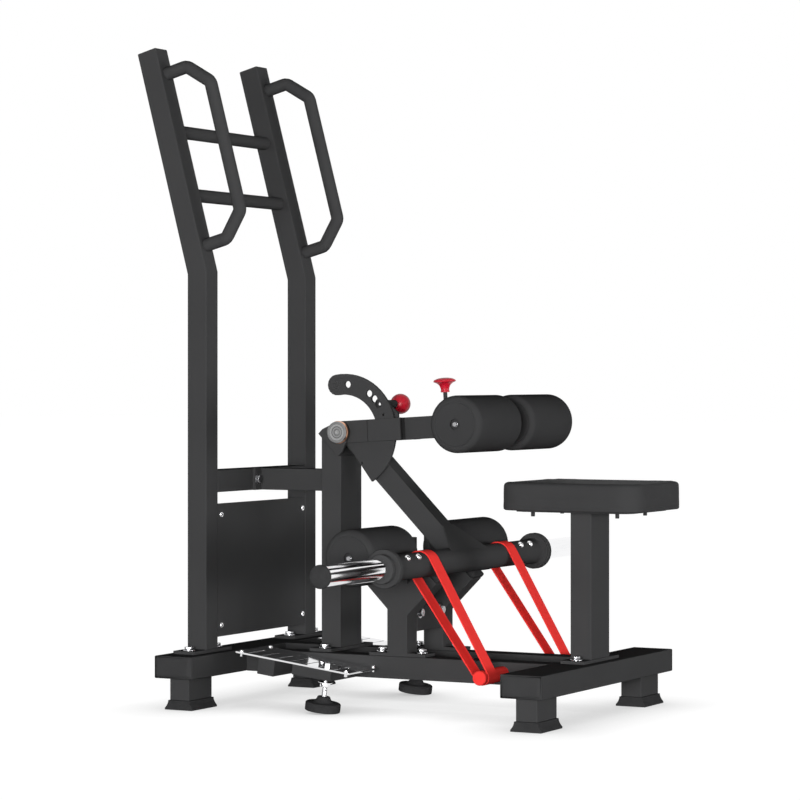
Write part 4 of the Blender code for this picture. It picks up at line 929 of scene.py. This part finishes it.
class MACHINE_OT_bands(bpy.types.Operator):
    """Eases the two rubber bands and models the covers of their pegs"""

    bl_idname = "machine.bands"
    bl_label = "Rubber bands"

    def execute(self, context):
        stretch = ("lever", PEG.lerp(PUSH_AXIS, BAND_HOLD), PUSH_AXIS.lerp(PEG, BAND_HOLD))
        for side, sign in SIDES:
            node = f"band_{side}"
            made = eased(node, 0.0007, limit=60, crease=40)
            settle(made, f"{node}_rubber", BODY_OF[node], "band_red", [node], stretch=stretch)
            cover = joined([lathe(outline, to_side(PEG, sign), 32) for outline in self.peg_cover()])
            settle(cover, f"peg_cover_{side}", "frame", "band_red")
        return {"FINISHED"}

    def peg_cover(self):
        """Outlines of a peg's thin cover: a ring up to the band, and a closed cap beyond it."""
        inner, outer, top = PEG_RADIUS + 0.0002, PEG_RADIUS + 0.0002 + PEG_COVER, PEG_TO + 0.0015
        ring = [(inner, PEG_FROM), (outer, PEG_FROM), (outer, BAND_FROM), (inner, BAND_FROM),
                (inner, PEG_FROM)]
        cap = [(0.0, top), (outer - 0.0015, top), (outer, PEG_TO), (outer, BAND_TO), (inner, BAND_TO),
               (inner, PEG_TO + 0.0002), (0.0, PEG_TO + 0.0002)]
        return ring, cap


class MACHINE_OT_pins(bpy.types.Operator):
    """Models the ball knob, the mushroom knob and their plungers"""

    bl_idname = "machine.pins"
    bl_label = "Pins and knobs"

    def execute(self, context):
        self.pull_pin()
        self.head_pin()
        return {"FINISHED"}

    def pull_pin(self):
        """A ball knob on a plunger that points across the arm."""
        x, z = PULL_PIN
        across = ARM @ Matrix.Translation((x, 0, z)) @ Matrix.Rotation(-math.pi / 2, 4, "X")
        start = math.degrees(math.acos(BALL_NECK / BALL_RADIUS))
        under = BALL_Y - BALL_RADIUS + 0.0002
        floor = BALL_Y - BALL_BORE_DEPTH
        ball = arc((0.0, BALL_Y), BALL_RADIUS, BALL_RADIUS, 90, -start, 20)
        ball += [(BALL_NECK, under), (BALL_BORE, under), (BALL_BORE, floor), (0.0, floor)]
        settle(lathe(ball, across, 40), "pull_knob_ball", "pull_pin", "knob_red", ["pull_knob"],
               angle=35)
        top = floor - 0.0005
        nose = [(0.0, top), (PIN_RADIUS, top), (PIN_RADIUS, PULL_NOSE + PULL_NOSE_TAPER),
                (PIN_RADIUS - PULL_NOSE_TAPER, PULL_NOSE), (0.0, PULL_NOSE)]
        settle(lathe(nose, across, 24), "pull_pin_plunger", "pull_pin", "chrome", ["pull_pin"],
               angle=35)

    def head_pin(self):
        """A mushroom knob on a plunger that stands on the arm."""
        where = ARM @ Matrix.Translation((HEAD_PIN_AT, 0, 0))
        foot = KNOB_START
        bore, floor = PIN_RADIUS + 0.0004, foot + KNOB_BORE_DEPTH
        cap = [(KNOB_DISC * out, foot + KNOB_HEIGHT * up) for out, up in KNOB_CAP]
        cap += [(KNOB_STEM * out, foot + KNOB_HEIGHT * up) for out, up in KNOB_NECK]
        cap += [(bore, foot), (bore, floor), (0.0, floor)]
        settle(lathe(cap, where, 40), "head_knob_mushroom", "head_pin", "knob_red", ["head_knob"],
               angle=50)
        top = floor - 0.001
        stem = [(0.0, top), (PIN_RADIUS, top), (PIN_RADIUS, HEAD_PIN_TIP + HEAD_PIN_TAPER),
                (PIN_RADIUS - HEAD_PIN_TAPER, HEAD_PIN_TIP), (0.0, HEAD_PIN_TIP)]
        settle(lathe(stem, where, 24), "head_pin_plunger", "head_pin", "black_plastic", ["head_pin"],
               angle=35)


class MACHINE_OT_pivot_shaft(bpy.types.Operator):
    """Models the pivot shaft with its turned caps and their bronze collars"""

    bl_idname = "machine.pivot_shaft"
    bl_label = "Pivot shaft"

    def execute(self, context):
        inner, outer, face, top = SHAFT_RADIUS + 0.0002, COLLAR_RADIUS, SHAFT_FACE, COLLAR_TOP
        collar = [(inner, face), (outer - 0.0006, face), (outer, face + 0.0006), (outer, top - 0.0012),
                  (outer - 0.0012, top), (inner, top), (inner, face)]
        half = [(radius, SHAFT_TOP - depth) for radius, depth in SHAFT_CAP]
        half += [(SHAFT_CAP[-1][0], top + GAP), (SHAFT_RADIUS, top + GAP)]
        profile = half + [(radius, -height) for radius, height in reversed(half)]
        shaft = lathe(profile, to_side(PIVOT, -1), 56)
        settle(shaft, "pivot_shaft_turned", "lever", "zinc", ["pivot_shaft"], angle=30,
               finish="turned_steel")
        for side, sign in SIDES:
            ring = lathe(collar, to_side(PIVOT, sign), 56)
            settle(ring, f"pivot_collar_{side}", "lever", "bronze", angle=35)
        return {"FINISHED"}


class MACHINE_OT_sleeves(bpy.types.Operator):
    """Models the plated sleeves for the discs, with their rubber caps"""

    bl_idname = "machine.sleeves"
    bl_label = "Weight sleeves"

    def execute(self, context):
        for side, sign in SIDES:
            out = to_side(PUSH_AXIS, sign)
            foot, tip, radius = SLEEVE_START, SLEEVE_START + SLEEVE_LENGTH, SLEEVE_RADIUS
            tube = [(0.0, tip), (radius - 0.0006, tip), (radius, tip - 0.0006), (radius, foot + 0.0006),
                    (radius - 0.0006, foot), (0.0, foot)]
            node = f"weight_sleeve_{side}"
            settle(lathe(tube, out, 72), f"{node}_plated", "lever", "chrome", [node], angle=35)
            start, radius, flat = tip + GAP, SLEEVE_CAP_RADIUS, SLEEVE_CAP_FLAT
            cap = [(0.0, start + SLEEVE_CAP_LENGTH)]
            cap += arc((flat, start + 0.0048), radius - flat, 0.0052, 90, 0, 8)
            cap += [(radius, start + 0.0008), (radius - 0.0008, start), (0.0, start)]
            node = f"sleeve_cap_{side}"
            settle(lathe(cap, out, 56), f"{node}_rubber", "lever", "rubber", [node])
        return {"FINISHED"}


class MACHINE_OT_levelling_feet(bpy.types.Operator):
    """Models the rubber discs and threaded studs of the levelling feet"""

    bl_idname = "machine.levelling_feet"
    bl_label = "Levelling feet"

    def execute(self, context):
        for side, sign in SIDES:
            where = tilted(Vector((LEVEL_FOOT.x, sign * LEVEL_FOOT.y, LEVEL_FOOT.z)), STEP_SLOPE)
            node = f"levelling_foot_{side}"
            settle(lathe(self.rubber(), where, 56), f"{node}_rubber", BODY_OF[node], "rubber", [node])
            stud = lathe(self.thread(), where, 24)
            settle(stud, f"levelling_stud_{side}", BODY_OF[node], "chrome", angle=20)
            down = Matrix.Translation((0, 0, LEVEL_NUT_TOP)) @ Matrix.Rotation(math.pi, 4, "X")
            nut = spread(hex_bolt(0.0210, 0.0110, 0.0165), [where @ down])
            settle(nut, f"levelling_nut_{side}", BODY_OF[node], "chrome", angle=30)
        return {"FINISHED"}

    def rubber(self):
        """A disc with a flared hub."""
        disc, hub, radius = LEVEL_DISC, LEVEL_HUB, LEVEL_RADIUS
        outline = [(0.0, hub), (0.0138, hub), (0.0155, hub - 0.0018), (0.0170, hub - 0.006),
                   (0.0225, disc + 0.0015), (0.0245, disc)]
        outline += arc((radius - 0.004, disc - 0.004), 0.004, 0.004, 90, 0, 5)
        outline += arc((radius - 0.0025, 0.0025), 0.0025, 0.0025, 0, -90, 4)
        return outline + [(0.0, 0.0)]

    def thread(self):
        """A stud with a chamfered tip and a ridge for each turn of its thread."""
        top, foot, start = LEVEL_STUD_TOP, LEVEL_HUB - 0.001, LEVEL_STUD_TOP - THREAD_END
        outline = [(0.0, top), (0.0048, top), (0.0059, top - 0.0011)]
        for turn in range(int((start - LEVEL_HUB) / THREAD_PITCH)):
            ridge = start - turn * THREAD_PITCH
            outline += [(THREAD_RADIUS, ridge), (THREAD_ROOT, ridge - THREAD_PITCH / 2)]
        return outline + [(THREAD_RADIUS, foot), (0.0, foot)]


class MACHINE_OT_fastenings(bpy.types.Operator):
    """Models the zinc bolts, washers and screws"""

    bl_idname = "machine.fastenings"
    bl_label = "Bolts and screws"

    def execute(self, context):
        for name, size, places in self.bolts():
            settle(spread(hex_bolt(*size), places), name, "frame", "zinc", angle=30)
        for node, body, where, start, end in self.axles():
            self.axle(node, body, where, start, end)
        for name, body, radius, height, places in self.screws():
            made = spread(button_screw(radius, height, radius * 0.45), places)
            settle(made, name, body, "chrome", angle=30)
        return {"FINISHED"}

    def axle(self, node, body, where, start, end):
        """A rod with a washer and a small bolt head at each end that shows. The washer is black rubber
        across the whole floor of the roller's recess: painted shade for the dark recess round the bolt.
        """
        tips = [(sign, y) for sign, y in ((-1, start), (1, end)) if sign * y > LOWER_INNER_Y]
        outs = [to_side(where, sign) @ Matrix.Translation((0, 0, abs(y))) for sign, y in tips]
        # The washers fill the recess floor in black rubber: painted shade in the recess round each bolt
        # head.
        ring = ROLLER_RECESS - 0.0004
        washer = [(0.0, 0.0001), (ring - 0.0004, 0.0001), (ring, 0.0005), (ring, 0.0009),
                  (ring - 0.0004, 0.0013), (0.0, 0.0013)]
        washers = spread(lathe(washer, Matrix(), 32), outs)
        settle(washers, f"{node}_washers", body, "rubber", angle=35)
        above = [out @ Matrix.Translation((0, 0, 0.0014)) for out in outs]
        heads = spread(hex_bolt(0.0098, 0.0045, 0.0058, 0.0006), above)
        outline = [(0.0, start), (AXLE_RADIUS, start), (AXLE_RADIUS, end), (0.0, end)]
        rod = lathe(outline, to_side(where, 1), 32)
        settle(joined([rod, heads]), f"{node}_bolted", body, "zinc", [node], angle=30)

    def bolts(self):
        """Name, width over flats with height and washer radius, and places of each group of bolts."""
        forward = Matrix.Rotation(math.pi / 2, 4, "Y")

        def standing(points):
            return [Matrix.Translation((x, y, BASE_PLATE_TOP)) for x, y in points]

        def facing(x, place):
            y, z = place
            return [Matrix.Translation((x, sign * y, z)) @ forward for sign in SIGNS]

        base = (0.0196, 0.0086, 0.0145)
        pairs = [(sign, way) for sign in SIGNS for way in (-1, 1)]
        masts = [(REAR_X, sign * MAST_Y + way * MAST_BOLT_STEP) for sign, way in pairs]
        posts = [(LOWER_AXIS.x + way * POST_BOLT_STEP, sign * BEAM_Y) for sign, way in pairs]
        center, seat = ([(x, sign * y) for sign in SIGNS] for x, y in (CENTER_BOLT, SEAT_BOLT))
        return [
            ("mast_bolts", base, standing(masts)),
            ("center_post_bolts", base, standing(center)),
            ("lower_post_bolts", base, standing(posts)),
            ("seat_post_bolts", base, standing(seat)),
            ("tie_bolts", (0.0180, 0.0090, 0.0140), facing(LOWER_AXIS.x + TUBE / 2, TIE_BOLT)),
            ("link_bolts", (0.0176, 0.0086, 0.0125), facing(REAR_X + TUBE / 2 + GAP + PLATE, LINK_BOLT)),
        ]

    def axles(self):
        """Node, body, middle and both ends along Y of each axle."""
        reach = ROLLER_LENGTH - ROLLER_RECESS_DEPTH + GAP
        near, far, start = UPPER_INNER_Y + reach, LOWER_INNER_Y + reach, LOWER_AXLE_START
        place = ARM @ Vector((ROLLER_AT, 0, 0))
        upper = ("upper_roller_axle", BODY_OF["upper_roller_axle"], place, -near, near)
        spans = (("left", start, far), ("right", -far, -start))
        lower = [(f"lower_axle_{side}", "frame", LOWER_AXIS, low, high) for side, low, high in spans]
        return [upper] + lower

    def screws(self):
        """Name, body, radius, height and places of each group of screws."""
        outward = Matrix.Rotation(math.pi / 2, 4, "Y")
        up_front = tilted(PUSH_AXIS, math.radians(45))
        tube = [up_front @ Matrix.Translation((WEIGHT_RADIUS, sign * y, 0)) @ outward
                for sign in SIGNS for y in SET_SCREWS_Y]
        ends = (STEP_SCREW_IN, STEP_LENGTH - STEP_SCREW_IN)
        tread = [STEP @ Matrix.Translation((x, sign * y, 0)) for sign in SIGNS for x in ends
                 for y in STEP_EDGES]
        panel_x = REAR_X + TUBE / 2 - PANEL_SINK
        panel = [Matrix.Translation((panel_x, sign * PANEL_SCREW_Y, z)) @ outward for sign in SIGNS
                 for z in PANEL_SCREWS_Z]
        return [
            ("set_screws", "lever", 0.0076, 0.0050, tube),
            ("tread_screws", "frame", 0.0050, 0.0034, tread),
            ("panel_screws", "frame", 0.0066, 0.0040, panel),
        ]


class MACHINE_OT_studio(bpy.types.Operator):
    """Sets the camera, the lamps, the floor and the world"""

    bl_idname = "machine.studio"
    bl_label = "Studio"

    def execute(self, context):
        scene = context.scene
        studio = scene.machine_studio
        scene.view_settings.view_transform = "Standard"
        self.camera(scene)
        self.floor(studio)
        self.world(scene, studio)
        self.lamp("key", studio.key_turn, studio.key, studio.lamp_height)
        self.lamp("side", studio.side_turn, studio.side, studio.lamp_height)
        return {"FINISHED"}

    def camera(self, scene):
        """The photograph's own viewpoint."""
        data = bpy.data.cameras.new("photo_camera")
        data.sensor_width = 36
        data.lens = LENS
        data.shift_y = LENS_SHIFT
        camera = bpy.data.objects.new("photo_camera", data)
        scene.collection.objects.link(camera)
        camera.location = CAMERA_PLACE
        camera.rotation_euler = (math.radians(90), 0, CAMERA_TURN)
        scene.camera = camera

    def seen(self, finish):
        """Two masks: the camera's rays, and with them those off gloss and through glass."""
        rays = ("Is Camera Ray", "Is Glossy Ray", "Is Transmission Ray")
        camera, glossy, through = finish.node("ShaderNodeLightPath", output=rays)
        return camera, finish.largest(camera, glossy, through)

    def floor(self, studio):
        """A floor that glows white in the picture and keeps a soft shadow where pieces touch it."""
        select_none()
        bpy.ops.mesh.primitive_plane_add(size=FLOOR_SIZE, location=(0, 0, 0))
        floor = bpy.context.object
        floor.name = "studio_floor"
        finish = Finish("studio_floor", (1, 1, 1))
        finish.tree.nodes.remove(finish.shader)
        camera, seen = self.seen(finish)
        near = finish.node("ShaderNodeAmbientOcclusion", {"samples": 8}, {"Distance": CONTACT_REACH},
                           output=1)
        shade = 1.0 - (1.0 - near) * CONTACT_SHADE
        level = shade * studio.floor_glow * camera + (seen - camera) * shade * studio.mirrored
        glow = finish.node("ShaderNodeEmission", inputs={"Color": (1, 1, 1, 1), "Strength": level})
        grey = (FLOOR_GREY, FLOOR_GREY, FLOOR_GREY, 1)
        matt = finish.node("ShaderNodeBsdfDiffuse", inputs={"Color": grey})
        both = finish.node("ShaderNodeAddShader", inputs={0: matt, 1: glow})
        finish.tree.links.new(both.socket, finish.tree.nodes["Material Output"].inputs["Surface"])
        floor.data.materials.append(finish.material)

    def world(self, scene, studio):
        """White to the camera and in reflections; a low belt of light to matt surfaces."""
        world = bpy.data.worlds.new("studio_world")
        world.use_nodes = True
        scene.world = world
        finish = Finish.of_world(world)
        camera, seen = self.seen(finish)
        height = finish.node("ShaderNodeSeparateXYZ", inputs={0: finish.object_place()}, output=2)
        top = math.sin(studio.belt_height)
        low = finish.ramp(height, (0.0, 1.0), (top * 0.75, 1.0), (top * 1.25, 0.0))
        belt = low * studio.belt + studio.ambient
        strength = camera + (seen - camera) * studio.mirrored + (1.0 - seen) * belt
        background = world.node_tree.nodes["Background"]
        background.inputs["Color"].default_value = (1, 1, 1, 1)
        world.node_tree.links.new(strength.socket, background.inputs["Strength"])

    def lamp(self, name, turn, power, height):
        """An area lamp that faces the machine.

        The angle runs from the machine's right side to its front."""
        data = bpy.data.lights.new(name, "AREA")
        data.shape = "RECTANGLE"
        data.size, data.size_y = LAMP_SIZE
        data.energy = power
        lamp = bpy.data.objects.new(name, data)
        bpy.context.scene.collection.objects.link(lamp)
        lamp.location = (LAMP_DISTANCE * math.sin(turn), -LAMP_DISTANCE * math.cos(turn), height)
        lamp.rotation_euler = (LAMP_TARGET - lamp.location).to_track_quat("-Z", "Y").to_euler()


class MACHINE_PT_panel(bpy.types.Panel):
    """Lists the steps, sizes and colours of the machine"""

    bl_idname = "MACHINE_PT_panel"
    bl_label = "Hip Thrust Machine"
    bl_space_type = "VIEW_3D"
    bl_region_type = "UI"
    bl_category = "Machine"

    def draw(self, context):
        for step in STEPS:
            self.layout.operator(step.bl_idname)
        scene = context.scene
        for group in (scene.machine_look, scene.machine_sizes, scene.machine_studio):
            for name in group.__annotations__:
                self.layout.prop(group, name)


STEPS = (MACHINE_OT_studio, MACHINE_OT_steel_frame, MACHINE_OT_seat_cushion, MACHINE_OT_rollers,
         MACHINE_OT_bands, MACHINE_OT_pins, MACHINE_OT_pivot_shaft, MACHINE_OT_sleeves,
         MACHINE_OT_levelling_feet, MACHINE_OT_fastenings)
CLASSES = (MachineLook, MachineSizes, MachineStudio, *STEPS, MACHINE_PT_panel)


def register():
    for item in CLASSES:
        bpy.utils.register_class(item)
    bpy.types.Scene.machine_look = PointerProperty(type=MachineLook)
    bpy.types.Scene.machine_sizes = PointerProperty(type=MachineSizes)
    bpy.types.Scene.machine_studio = PointerProperty(type=MachineStudio)


def unregister():
    del bpy.types.Scene.machine_look
    del bpy.types.Scene.machine_sizes
    del bpy.types.Scene.machine_studio
    for item in reversed(CLASSES):
        bpy.utils.unregister_class(item)


def main():
    register()
    bpy.ops.machine.studio()
    bpy.ops.machine.steel_frame()
    bpy.ops.machine.seat_cushion()
    bpy.ops.machine.rollers()
    bpy.ops.machine.bands()
    bpy.ops.machine.pins()
    bpy.ops.machine.pivot_shaft()
    bpy.ops.machine.sleeves()
    bpy.ops.machine.levelling_feet()
    bpy.ops.machine.fastenings()


if __name__ == "__main__":
    main()
